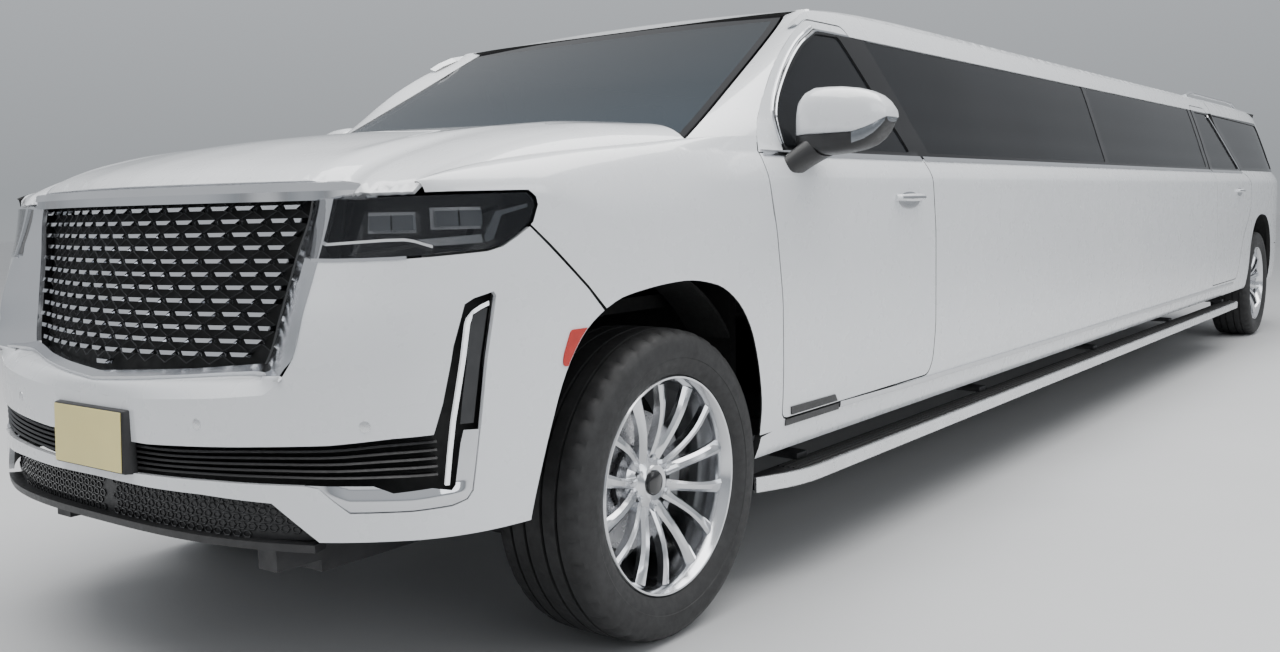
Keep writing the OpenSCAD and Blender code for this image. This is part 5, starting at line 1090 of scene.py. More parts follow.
# ------------------------------------------------------------------ wheels
def wheels():
    RR = 0.2905
    def tyre(name, x, sg, body):
        n = 168; prof = []
        # outside half profile (radius, offset from the wheel plane, outwards positive)
        W = 0.1425
        side_ = [(RR-0.016,0.098),(RR-0.012,0.108),(RR+0.002,0.1145),(RR+0.004,0.124),(RR+0.010,0.1275),(0.312,0.1345),(0.330,0.1400),(0.338,0.1405),(0.340,0.1422),(0.352,0.1424),(0.372,0.1420),(0.385,0.1380),(0.3865,0.1372),(0.398,0.1310),(0.4065,0.1220),(0.4115,0.1110)]
        tread = [(0.4140,0.100),(0.4150,0.0790),(0.4065,0.0785),(0.4065,0.0705),(0.4160,0.0700),(0.4166,0.0330),(0.4075,0.0325),(0.4075,0.0240),(0.4170,0.0235),(0.4170,0.0)]
        half = side_+tread
        full = half+[(r, -w) for r, w in half[::-1][1:]]
        inner = [(RR-0.010,-0.092),(RR+0.012,-0.094),(0.330,-0.112),(0.372,-0.116),(0.388,-0.108),(0.395,-0.08),(0.396,0.0),(0.395,0.08),(0.388,0.108),(0.372,0.116),(0.330,0.112),(RR+0.012,0.094),(RR-0.010,0.092)]
        P = np.array(full+inner); k = len(P); V = np.zeros((n, k, 3)); nf = len(full)
        for i in range(n):
            a = 2*np.pi*i/n; r = P[:, 0].copy(); w = P[:, 1]
            # shoulder blocks and cross sipes
            if i % 4 == 0:
                m = (np.arange(k) < nf) & (np.abs(w) > 0.079) & (r > 0.4035); r[m] -= 0.0065
            if (i+2) % 4 == 0:
                m = (np.arange(k) < nf) & (np.abs(w) > 0.034) & (np.abs(w) < 0.0695) & (r > 0.4090); r[m] -= 0.0045
            V[i, :, 0] = r*math.cos(a); V[i, :, 1] = w*sg; V[i, :, 2] = r*math.sin(a)
        v = V.reshape(-1, 3)+np.array([x, sg*HY, HZ]); F = []
        for i in range(n):
            a, b = i*k, ((i+1) % n)*k
            for j in range(k): F.append((a+j, a+(j+1) % k, b+(j+1) % k, b+j))
        B = Bag(); B.put(v, F, 0); B.done(name, ["tyre"], body, "tyre_rubber", 28)
    def rim(name, x, sg, body):
        c = (x, sg*HY, HZ)
        B = Bag()
        B.revolve([(RR+0.0005,0.1130),(RR+0.0020,0.1225),(RR-0.001,0.1265),(RR-0.006,0.1255),(RR-0.012,0.116),(0.272,0.104),(0.266,0.080),(0.262,-0.060),(0.264,-0.100),(RR-0.010,-0.112),(RR-0.002,-0.1240),(RR,-0.1240),(RR,-0.1145),(0.283,-0.106),(0.280,-0.095),(0.268,-0.060),(0.275,0.060),(0.280,0.104)], c, "y", 120, 0, sg)
        B.done(name+"_barrel", ["alloy"], body, "wheel_silver", 32)
        # seven pairs of spokes: each pair meets low at the hub and opens towards the rim
        S = Bag()
        for p in range(7):
            for h in (-1, 1):
                a_in = 2*np.pi*p/7+h*0.150; a_out = 2*np.pi*p/7+h*0.235
                N = 9; rings = []
                for i in range(N):
                    t = i/(N-1); r = 0.058+(0.2695-0.058)*t; a = a_in+(a_out-a_in)*t**0.8
                    wid = 0.0165-0.0035*math.sin(math.pi*t)+0.003*t**4; y = 0.052+0.045*math.sin(min(t*1.25, 1)*math.pi/2)*1.02+0.004*t
                    dp = 0.034-0.012*t
                    er = np.array([math.cos(a), 0, math.sin(a)]); et = np.array([-math.sin(a), 0, math.cos(a)]); ey = np.array([0, sg, 0.0])
                    tw = h*0.004
                    q = [er*r+et*(-wid)+ey*(y-0.006-tw), er*r+et*(-wid*0.45)+ey*(y+0.001-tw*0.5), er*r+et*(wid*0.45)+ey*(y+0.001+tw*0.5), er*r+et*wid+ey*(y-0.006+tw), er*r+et*(wid*0.8)+ey*(y-dp), er*r-et*(wid*0.8)+ey*(y-dp)]
                    rings.append(q)
                v = np.array(rings).reshape(-1, 3)+np.array(c); k = 6; f = []
                for i in range(N-1):
                    for j in range(k): f.append((i*k+j, i*k+(j+1) % k, (i+1)*k+(j+1) % k, (i+1)*k+j))
                f += [tuple(range(k)), tuple(range((N-1)*k, N*k))]
                S.put(v, f, 0)
        o = S.done(name+"_spokes", ["alloy"], body, "wheel_silver", 30)
        H = Bag()
        H.revolve([(0.0,0.052),(0.030,0.0535),(0.034,0.064),(0.047,0.067),(0.052,0.062),(0.088,0.050),(0.098,0.040),(0.100,0.022),(0.094,0.006),(0.0,0.006)], c, "y", 72, 0, sg, closed=False)
        H.revolve([(0.0,0.0735),(0.024,0.0728),(0.0305,0.070),(0.0325,0.062),(0.0,0.062)], c, "y", 48, 1, sg, closed=False)
        for j in range(6):
            a = 2*np.pi*(j+0.5)/6; cc = np.array([0.0695*math.cos(a), 0, 0.0695*math.sin(a)])+np.array(c)
            q = [(0.0,0.070),(0.0075,0.0685),(0.0105,0.064),(0.0105,0.050),(0.0,0.050)]
            H.revolve(q, cc, "y", 6, 2, sg, closed=False)
        H.done(name+"_hub", ["alloy", "black_gloss", "satin_chrome"], body, "wheel_silver", 30)
    def brake(name, x, sg, body, front):
        c = (x, sg*HY, HZ); B = Bag()
        B.revolve([(0.085,-0.020),(0.190,-0.020),(0.191,-0.013),(0.190,-0.006),(0.085,-0.006)], c, "y", 96, 0, sg)
        B.revolve([(0.0,-0.012),(0.088,-0.012),(0.088,0.003),(0.0,0.003)], c, "y", 48, 1, sg, closed=False)
        B.done(name+"_disc", ["disc", "knuckle"], body, "wheel_silver", 35)
        C = Bag(); k = 10; rings = []
        for i in range(k+1):
            a = math.radians(150+55*i/k) if front else math.radians(-25+50*i/k)
            er = np.array([math.cos(a), 0, math.sin(a)]); ey = np.array([0, sg, 0.0]); ro, ri = 0.208, 0.138
            rings.append([er*ri+ey*0.004, er*(ro-0.012)+ey*0.008, er*ro+ey*0.0, er*ro+ey*-0.030, er*(ro-0.012)+ey*-0.040, er*ri+ey*-0.036])
        v = np.array(rings).reshape(-1, 3)+np.array(c); f = []
        for i in range(k):
            for j in range(6): f.append((i*6+j, i*6+(j+1) % 6, (i+1)*6+(j+1) % 6, (i+1)*6+j))
        f += [tuple(range(6)), tuple(range(k*6, k*6+6))]
        C.put(v, f, 0)
        return C
    for nm, x, sg in (("front_left", XF, 1), ("front_right", XF, -1), ("rear_left", XF-WB, 1), ("rear_right", XF-WB, -1)):
        b = nm.split("_")[0]+"_wheel_"+nm.split("_")[1]
        tyre("tyre_"+nm, x, sg, b); rim("wheel_"+nm, x, sg, b); 
        C = brake("brake_"+nm, x, sg, b, nm[0] == "f")
        kn = ("knuckle_"+nm.split("_")[1]) if nm[0] == "f" else "root"
        C.done("caliper_"+nm, ["cast"], kn, "knuckle_metal", 30)
# ------------------------------------------------------------------ mirrors, handles, mouldings, boards
def loft(name, rings, mats, body="root", slot=None, smooth_deg=35, both=False, fm=None):
    """Closed rings of points (level car coordinates), capped at both ends."""
    R = np.asarray(rings, float); h, k = R.shape[:2]
    bl = body if isinstance(body, (tuple, list)) else (body, body)
    for i_, sg in enumerate((1, -1) if both else (1,)):
        v = XA(R.reshape(-1, 3)); v = v if sg > 0 else mirror_y(v)
        f = [(i*k+j, i*k+(j+1) % k, (i+1)*k+(j+1) % k, (i+1)*k+j) for i in range(h-1) for j in range(k)]
        m = [0]*len(f)
        if fm: m = [fm(i, j) for i in range(h-1) for j in range(k)]
        f += [tuple(range(k)), tuple(range((h-1)*k, h*k))]; m += [m[0], m[-1]]
        B = Bag(); B.put(v, f, 0); B.m = m
        B.done(name+("_left" if sg > 0 else "_right") if both else name, mats, bl[i_], slot, smooth_deg)
MARK = [(1.348,0.872),(1.420,0.872),(1.413,0.852),(1.366,0.786),(1.319,0.789),(1.322,0.815)]
def mirrors():
    body = ("front_door_left", "front_door_right"); n = 32
    def ring(y, af, ab, zb, zt, lo=-9, hi=9):
        out = []
        for t in np.linspace(0, 2*np.pi, n, endpoint=False):
            c, s = math.cos(t), math.sin(t); e = 2/3.2
            out.append(((af+ab)/2+(af-ab)/2*abs(c)**e*(1 if c > 0 else -1), y, min(max((zb+zt)/2+(zt-zb)/2*abs(s)**e*(1 if s > 0 else -1), lo), hi)))
        return out
    ys = [1.004,1.008,1.018,1.036,1.065,1.100,1.145,1.190,1.222,1.245,1.260,1.268,1.272]
    af = mono([1.00,1.02,1.08,1.15,1.22,1.255,1.273],[-0.660,-0.636,-0.626,-0.634,-0.656,-0.682,-0.712])
    zt = mono([1.00,1.02,1.06,1.15,1.22,1.255,1.273],[1.420,1.470,1.493,1.490,1.474,1.452,1.422])
    zs = mono([1.00,1.18,1.24,1.273],[1.352,1.354,1.374,1.398])
    zb = mono([1.00,1.03,1.09,1.20,1.25,1.273],[1.312,1.296,1.292,1.306,1.338,1.384])
    loft("mirror_shell", [ring(y, float(af(y)), -0.792, float(zs(y))-0.035, float(zt(y)), lo=float(zs(y))) for y in ys], ["white"], body, "body_white", 50, True)
    low = [ring(y, float(af(y))-0.003, -0.786, float(zb(y)), float(zs(y))+0.030, hi=float(zs(y))-0.0015) for y in ys]
    loft("mirror_housing", low, ["black_plastic", "lamp_inner"], body, None, 50, True, lambda i, j: 1 if ys[i] >= 1.189 and low[i][j][0] > -0.735 and low[i][j][2] > float(zb(ys[i]))+0.014 else 0)
    rr = []
    for y in np.linspace(1.022, 1.250, 9):
        a, b = 1.340+0.04*smooth(y, 1.18, 1.25), 1.476-0.040*smooth(y, 1.15, 1.25)-0.03*(1-smooth(y, 1.02, 1.05))
        rr.append([(-0.7900, y, a), (-0.7900, y, b), (-0.7955, y, b-0.004), (-0.7955, y, a+0.004)])
    loft("mirror_glass", rr, ["chrome"], body, None, 30, True)
    arm = []
    for t in np.linspace(0, 1, 11):
        c = np.array([-0.622-0.070*t, 1.000+0.070*t**1.2, 1.250+0.070*t**0.9]); w = 0.052+0.008*t; h = 0.026+0.008*t
        arm.append([c+np.array([w*abs(math.cos(u))**0.6*np.sign(math.cos(u)), -0.55*h*abs(math.sin(u))**0.7*np.sign(math.sin(u)), h*abs(math.sin(u))**0.7*np.sign(math.sin(u))*0.9]) for u in np.linspace(0, 2*np.pi, 20, endpoint=False)])
    loft("mirror_arm", arm, ["black_plastic"], body, None, 45, True)
def handles():
    for nm, a0, a1, body in (("front_handle", -1.295, -1.520, ("front_door_left", "front_door_right")), ("rear_handle", -7.090-DZ, -7.310-DZ, ("rear_door_left", "rear_door_right"))):
        R = []; N = 15
        for i in range(N):
            t = i/(N-1); a = a0+(a1-a0)*t; st = 0.020*min(1, math.sin(math.pi*min(max(t, 0.0), 1))**0.45 if 0 < t < 1 else 0)
            zc = 1.1615; y0 = float(side(a, zc)[1]); y = y0+0.004+st
            h = 0.0135*(0.75+0.25*math.sin(math.pi*t)); d = 0.0075
            R.append([(a, y+d*math.cos(u)*0.9, zc+h*math.sin(u)) for u in np.linspace(0, 2*np.pi, 14, endpoint=False)])
        loft(nm, R, ["white"], body, "body_white", 50, True)
        R = [[(a, p[1]+0.0008, p[2]) for p in ()] for a in ()]
        # bright insert along the grip
        R = []
        for i in range(1, N-1):
            t = i/(N-1); a = a0+(a1-a0)*t; st = 0.020*math.sin(math.pi*t)**0.45; y0 = float(side(a, 1.1615)[1]); y = y0+0.004+st+0.0066
            R.append([(a, y, 1.1665), (a, y+0.0018, 1.1650), (a, y+0.0022, 1.1615), (a, y+0.0018, 1.158), (a, y, 1.1565)])
        loft(nm+"_insert", R, ["chrome"], body, None, 30, True)
        # scoop behind the grip: a shallow dark dish
        V = []; F = []
        c = ((a0+a1)/2, 1.152); k = 28; rings = [(1.0, 0.0012), (0.86, 0.0018), (0.55, 0.0016), (0.25, 0.0015)]
        R = []
        for sc, out in rings:
            R.append([(c[0]+0.088*sc*math.cos(u), float(side(c[0]+0.088*sc*math.cos(u), c[1]+0.030*sc*math.sin(u))[1])+out, c[1]+0.030*sc*math.sin(u)) for u in np.linspace(0, 2*np.pi, k, endpoint=False)])
        R = [[(p[0], p[1]-0.006, p[2]) for p in R[0]]]+R
        loft(nm+"_scoop", R, ["satin_chrome"], body, None, 60, True)
def mouldings():
    # bright line along the sill, black insert at its front end
    ln = mono([-7.14-DZ,-1.63,-0.905],[0.4835,0.4945,0.5015])
    strip("sill_line", [(a, float(ln(a))) for a in np.linspace(-0.905, -7.14-DZ, 90)], 0.019, 0.012, ["chrome"], "root", 0.006)
    def patch(name, P, out, mats, body="root", slot=None, th=0.006):
        P = np.array(P, float)
        skin(name, [P], lambda u, v: inside(P, u, v), np.linspace(P[:, 0].min(), P[:, 0].max(), 14), np.linspace(P[:, 1].min(), P[:, 1].max(), 6), lambda u, v: side(u, v)+np.array([0, out, 0]), (0, 1, 0), th, mats=mats, body=body, slot=slot)
    patch("sill_insert", [(-0.560,0.4865),(-0.902,0.4865),(-0.902,0.5065),(-0.560,0.5065)], 0.004, ("black_plastic",)*3)
    patch("door_insert", [(-0.592,0.5165),(-0.888,0.5165),(-0.868,0.5395),(-0.586,0.5415)], 0.004, ("black_plastic",)*3, ("front_door_left", "front_door_right"))
    # front marker lamp by the arch
    mk = round_poly(np.array(MARK), 4, 0.010); ac = np.array([(float(SA(a)), z) for a, z in FARCHS]); ac = grow(ac, 0.004)
    skin("marker_lamp", [mk, ac], lambda u, v: inside(mk, u, v) & ~inside(ac, u, v), np.linspace(mk[:, 0].min(), mk[:, 0].max(), 8), np.linspace(mk[:, 1].min(), mk[:, 1].max(), 8), lambda s, z: XA(surf(s, z)+0.0035*nref(s, z)), nref, 0.006, mats=("lens_orange",)*3, slot="lamp_red")
def boards():
    out = [(-0.436,0.985),(-0.480,1.004),(-0.560,1.034),(-0.620,1.047),(-0.700,1.0545),(-7.090-DZ,1.0545),(-7.150-DZ,1.040),(-7.170-DZ,0.985)]
    inn = [(-7.166-DZ,0.930),(-0.447,0.930)]
    P = np.array(out+inn)
    def top(u, v): return XA(np.stack([u, v, 0.3455+0*u], -1))
    Q = grow(P, -0.011)
    skin("board_deck", [Q], lambda u, v: inside(Q, u, v), np.arange(-7.15-DZ, -0.44, 0.12), np.linspace(0.935, 1.04, 6), top, (0, 0, 1), 0.038, mats=("black_plastic",)*3, slot="step_black")
    # tread ribs
    B = Bag(); n = 0
    for k in range(5):
        y = 0.948+k*0.018
        for sg in (1, -1):
            B.box((XF-7.08-DZ, min(sg*y, sg*(y+0.006)), 0.3455), (XF-0.62, max(sg*y, sg*(y+0.006)), 0.3485), 0)
    B.done("board_ribs", ["rubber_seal"], smooth_deg=20)
    R = []
    pts = smooth_arch(np.array([(-p[0], p[1]) for p in out]), 120)
    d = np.gradient(pts, axis=0); d /= np.linalg.norm(d, axis=1)[:, None]
    for i, (a, y) in enumerate(pts):
        a = -a; nx, ny = -(-d[i][1]), d[i][0]
        nx, ny = d[i][1], d[i][0]     # outward in (a, y)
        o = lambda k, z: (a+nx*k, y+ny*k, z)
        R.append([o(-0.012, 0.349), o(-0.002, 0.349), o(0.0, 0.346), o(0.0, 0.306), o(-0.003, 0.303), o(-0.012, 0.303)])
    loft("board_edge", R, ["silver_edge"], "root", "step_black", 30, True)
    B = Bag()
    for x in (-0.76, -2.30, -3.90, -5.50, -7.06):
        x = x-(DZ if x < -5 else 0)
        for sg in (1, -1):
            B.hexa([(XF+x-0.03, sg*0.50, 0.352), (XF+x+0.03, sg*0.50, 0.352), (XF+x+0.03, sg*0.50, 0.388), (XF+x-0.03, sg*0.50, 0.388)],
                   [(XF+x-0.035, sg*0.958, 0.346), (XF+x+0.035, sg*0.958, 0.346), (XF+x+0.035, sg*0.958, 0.366), (XF+x-0.035, sg*0.958, 0.366)], 0)
    o = B.done("board_brackets", ["chassis"]); bevel(o, 0.003, 2)
def roof_bits():
    # rails over the last windows, and the aerial fin
    for sg, nm in ((1, "left"), (-1, "right")):
        B = Bag(); pts = []
        for t in np.linspace(0, 1, 30):
            a = -6.75-DZ-1.75*t; h = 0.032*min(1, 10*t, 10*(1-t))
            pts.append((XF+a, sg*0.735, 1.846+h))
        B.tube(np.array(pts), 0.013, 12, 0, flat=(1.0, 0.8)); B.done("roof_rail_"+nm, ["satin_chrome"], smooth_deg=45)
    R = []
    for t in np.linspace(0, 1, 10):
        a = -8.42-DZ-0.17*t; z = 1.903-0.012*t+0.048*math.sin(min(1, t*1.08)*math.pi/2)**1.6; w = 0.016*(0.35+0.65*t)
        R.append([(a, -w, 1.885-0.012*t), (a, -w*0.25, z), (a, w*0.25, z), (a, w, 1.885-0.012*t)])
    loft("roof_fin", R, ["white"], "root", "body_white", 40)
# ------------------------------------------------------------------ cabin
def cushion(name, lo, hi, mat_="leather", body="root", seams=(0, 1), n=14, k=7.0, puff=0.012, tilt=None, fill=0.6):
    """A stuffed cushion: soft all round, with stitched channels across one axis."""
    lo = np.array(lo, float); hi = np.array(hi, float); c = (lo+hi)/2; h = (hi-lo)/2
    ax, cnt = seams
    V = []; F = []; idx = {}
    nn = [max(6, int(np.ceil(h[i]*2/0.045))) for i in range(3)]
    for d in range(3):
        u, w = [i for i in range(3) if i != d]
        for sg in (-1, 1):
            base = len(V); nu, nw = nn[u], nn[w]
            for i in range(nu+1):
                for j in range(nw+1):
                    p = np.zeros(3); p[d] = sg; p[u] = -1+2*i/nu; p[w] = -1+2*j/nw; V.append(p)
            for i in range(nu):
                for j in range(nw): F.append((base+i*(nw+1)+j, base+(i+1)*(nw+1)+j, base+(i+1)*(nw+1)+j+1, base+i*(nw+1)+j+1))
    V = np.array(V)
    # round the corners by a fixed radius, whatever the size
    r = min(0.045, h.min()*0.75); q = V*h; core = np.clip(q, -(h-r), h-r); dd = q-core; L = np.linalg.norm(dd, axis=1); L[L < 1e-9] = 1
    q = core+dd/np.maximum(L, r)[:, None]*r if False else core+dd*(r/np.maximum(L, r))[:, None]
    out = V/np.linalg.norm(V, axis=1)[:, None]
    sw = (1-np.abs(q/h)**2.4); bulge = np.ones(len(q))
    for i in range(3): bulge = bulge*np.where(np.abs(V[:, i]) > 0.999, 1.0, np.clip(1-np.abs(V[:, i])**3, 0, 1))
    nrm = np.zeros_like(q)
    for i in range(3): nrm[:, i] = np.where(np.abs(V[:, i]) > 0.999, np.sign(V[:, i]), 0)
    q = q+nrm*(puff*bulge)[:, None]
    if cnt > 1:
        t = (q[:, ax]/h[ax]+1)/2*cnt; g = np.exp(-((t-np.round(t))/0.055)**2)*(np.round(t) > 0)*(np.round(t) < cnt)
        q = q-nrm*(0.010*g*np.clip(bulge*1.5, 0, 1))[:, None]
    if tilt is not None:
        a = math.radians(tilt); x = q[:, 0]*math.cos(a)+q[:, 2]*math.sin(a); z = -q[:, 0]*math.sin(a)+q[:, 2]*math.cos(a); q[:, 0] = x; q[:, 2] = z
    bm = bmesh.new(); vs = [bm.verts.new(tuple(p)) for p in (q+c)]
    for f in F: bm.faces.new([vs[i] for i in f])
    bmesh.ops.remove_doubles(bm, verts=bm.verts, dist=0.0002); bmesh.ops.recalc_face_normals(bm, faces=bm.faces)
    o = from_bm(name, bm, mat_, body, "interior_leather", 60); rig.padded(o, fill); return o
def cabin():
    X = XF
    for nm, y in (("driver", 0.40), ("passenger", -0.40)):
        o = cushion("seat_base_"+nm, (X-1.54, y-0.26, 0.60), (X-1.04, y+0.26, 0.775), seams=(1, 3))
        cushion("seat_back_"+nm, (X-1.72, y-0.25, 0.76), (X-1.55, y+0.25, 1.36), seams=(2, 4), tilt=-10)
        cushion("seat_head_"+nm, (X-1.775, y-0.13, 1.40), (X-1.675, y+0.13, 1.58), seams=(1, 1))
        B = Bag()
        for dy in (-0.07, 0.07): B.tube([(X-1.715, y+dy, 1.34), (X-1.722, y+dy, 1.44)], 0.006, 8, 0)
        B.hexa([(X-1.50, y-0.20, 0.474), (X-1.14, y-0.20, 0.474), (X-1.14, y+0.20, 0.474), (X-1.50, y+0.20, 0.474)], [(X-1.52, y-0.22, 0.60), (X-1.10, y-0.22, 0.60), (X-1.10, y+0.22, 0.60), (X-1.52, y+0.22, 0.60)], 1)
        B.done("seat_mount_"+nm, ["satin_chrome", "black_plastic"], smooth_deg=30)
    # long bench along the right side, in cushions, on a plinth
    L0, L1 = -2.32, -6.18-DZ; n = 6
    for i in range(n):
        a = L0+(L1-L0)*i/n; b = L0+(L1-L0)*(i+1)/n
        cushion("bench_seat_%d" % i, (X+b+0.004, -0.850, 0.70), (X+a-0.004, -0.335, 0.855), seams=(0, 3))
        cushion("bench_back_%d" % i, (X+b+0.004, -0.880, 0.845), (X+a-0.004, -0.745, 1.235), seams=(0, 3))
    B = Bag(); B.box((X+L1, -0.850, 0.474), (X+L0, -0.36, 0.700), 0); B.box((X+L1-0.0, -0.362, 0.484), (X+L0, -0.352, 0.520), 1)
    B.done("bench_plinth", ["trim_soft", "satin_chrome"], smooth_deg=30)
    # rear bench across
    for i, (y0, y1) in enumerate(((-0.84, -0.28), (-0.28, 0.28), (0.28, 0.84))):
        cushion("rear_seat_%d" % i, (X-7.40-DZ, y0+0.004, 0.66), (X-6.87-DZ, y1-0.004, 0.850), seams=(1, 3))
    for i, (y0, y1) in enumerate(((-0.61, -0.20), (-0.20, 0.20), (0.20, 0.61))):
        cushion("rear_back_%d" % i, (X-7.53-DZ, y0+0.004, 0.84), (X-7.41-DZ, y1-0.004, 1.46), seams=(2, 4), tilt=-8)
    B = Bag(); B.box((X-7.40-DZ, -0.84, 0.474), (X-6.90-DZ, 0.84, 0.662), 0); B.done("rear_plinth", ["trim_soft"])
    # bar cabinet along the left side, with a glossy top and lit edge
    B = Bag(); B.box((X-5.60-DZ, 0.640, 0.474), (X-2.60, 0.866, 0.900), 0); B.box((X-5.62-DZ, 0.625, 0.900), (X-2.58, 0.868, 0.925), 1)
    for k in range(6): B.box((X-2.62-0.5*k-0.012, 0.636, 0.50), (X-2.62-0.5*k, 0.641, 0.88), 2)
    B.box((X-5.60-DZ, 0.630, 0.880), (X-2.60, 0.6385, 0.888), 3)
    o = B.done("bar_cabinet", ["wood", "black_gloss", "satin_chrome", "led_dim"]); bevel(o, 0.004, 2)
    # floor covering
    B = Bag(); B.box((X-7.52-DZ, -0.868, 0.4705), (X-0.56, 0.868, 0.478), 0); B.done("carpet", ["carpet"])
    B = Bag(); B.box((X-9.10-DZ, -0.62, 0.7245), (X-7.56-DZ, 0.62, 0.732), 0); B.done("load_carpet", ["carpet"])
    # screen, two small bright plates and the console
    B = Bag()
    B.hexa([(X-0.835, 0.05, 1.185), (X-0.835, 0.74, 1.185), (X-0.700, 0.74, 1.305), (X-0.700, 0.05, 1.305)], [(X-0.850, 0.05, 1.190), (X-0.850, 0.74, 1.190), (X-0.715, 0.74, 1.315), (X-0.715, 0.05, 1.315)], 0)
    o = B.done("dash_screen", ["screen"]); bevel(o, 0.004, 2)
    B = Bag()
    for y0 in (-0.70, -0.24): B.hexa([(X-0.846, y0, 1.10), (X-0.846, y0+0.18, 1.10), (X-0.846, y0+0.18, 1.15), (X-0.846, y0, 1.15)], [(X-0.857, y0+0.004, 1.104), (X-0.857, y0+0.176, 1.104), (X-0.857, y0+0.176, 1.146), (X-0.857, y0+0.004, 1.146)], 0)
    B.box((X-1.62, -0.11, 0.60), (X-0.92, 0.11, 0.72), 1)
    B.box((X-1.40, -0.095, 0.72), (X-0.95, 0.095, 0.732), 2)
    o = B.done("console", ["satin_chrome", "trim_soft", "wood"]); bevel(o, 0.005, 2)
    # outline of a partition behind the front seats with a low opening; nothing is built from it
    V = [(-0.86, 0.478), (0.86, 0.478), (0.86, 1.28), (0.80, 1.60), (0.74, 1.78), (-0.74, 1.78), (-0.80, 1.60), (-0.86, 1.28)]
def closings():
    """Strips between the rear wheelhouse and the quarter panel, the inner sill, and the quarter trim."""
    c = np.array([XF*0-WB, HZ+0.030]); R = []
    for a, z in RARCHS:
        u = np.array([a, z])-c; u /= np.linalg.norm(u); y = float(side(a, z)[1])-0.012
        p = (c[0]+u[0]*0.536, 0.893, c[1]+u[1]*0.536); q = (a+u[0]*0.003, y, z+u[1]*0.003)
        R.append([p, q, (q[0]+u[0]*0.004, q[1], q[2]+u[1]*0.004), (p[0]+u[0]*0.004, p[1], p[2]+u[1]*0.004)])
    loft("rear_arch_closing", R, ["liner"], "root", "liner_black", 40, True)
    R = [[(a, 0.866, 0.445), (a, float(side(a, 0.45)[1])-0.014, 0.445), (a, float(side(a, 0.49)[1])-0.014, 0.499), (a, 0.866, 0.499)] for a in np.linspace(-0.57, -7.60-DZ, 30)]
    loft("inner_sill", R, ["black_plastic"], "root", None, 30, True)
    P = np.array([(-7.36-DZ, 1.02), (-9.02-DZ, 1.02), (-9.02-DZ, 1.305), (-7.36-DZ, 1.305)])
    skin("quarter_trim", [P], lambda u, v: inside(P, u, v), np.arange(P[:, 0].min(), -7.3-DZ, 0.16), np.linspace(1.03, 1.30, 6), lambda u, v: XA(np.stack([u, 0.905+0*u, v], -1)), (0, -1, 0), 0.012, mats=("trim_soft",)*3, slot="interior_black")
def finishes():
    put = {"frame_rails": "chassis", "floor_pan": "floor_under", "engine_block": "cast", "front_suspension": "chassis", "rear_axle": "chassis", "fuel_tank": "black_plastic", "exhaust": "steel", "cowl": "black_matte", "dashboard": "trim_soft",
           "steering_wheel": "leather", "wheel_liners": "liner", "knuckle_left": "knuckle", "knuckle_right": "knuckle"}
    for n, m in put.items():
        o = frame["nodes"][n]; o.data.materials.clear(); o.data.materials.append(M[m])
        o.data.polygons.foreach_set("material_index", np.zeros(len(o.data.polygons), np.int32))
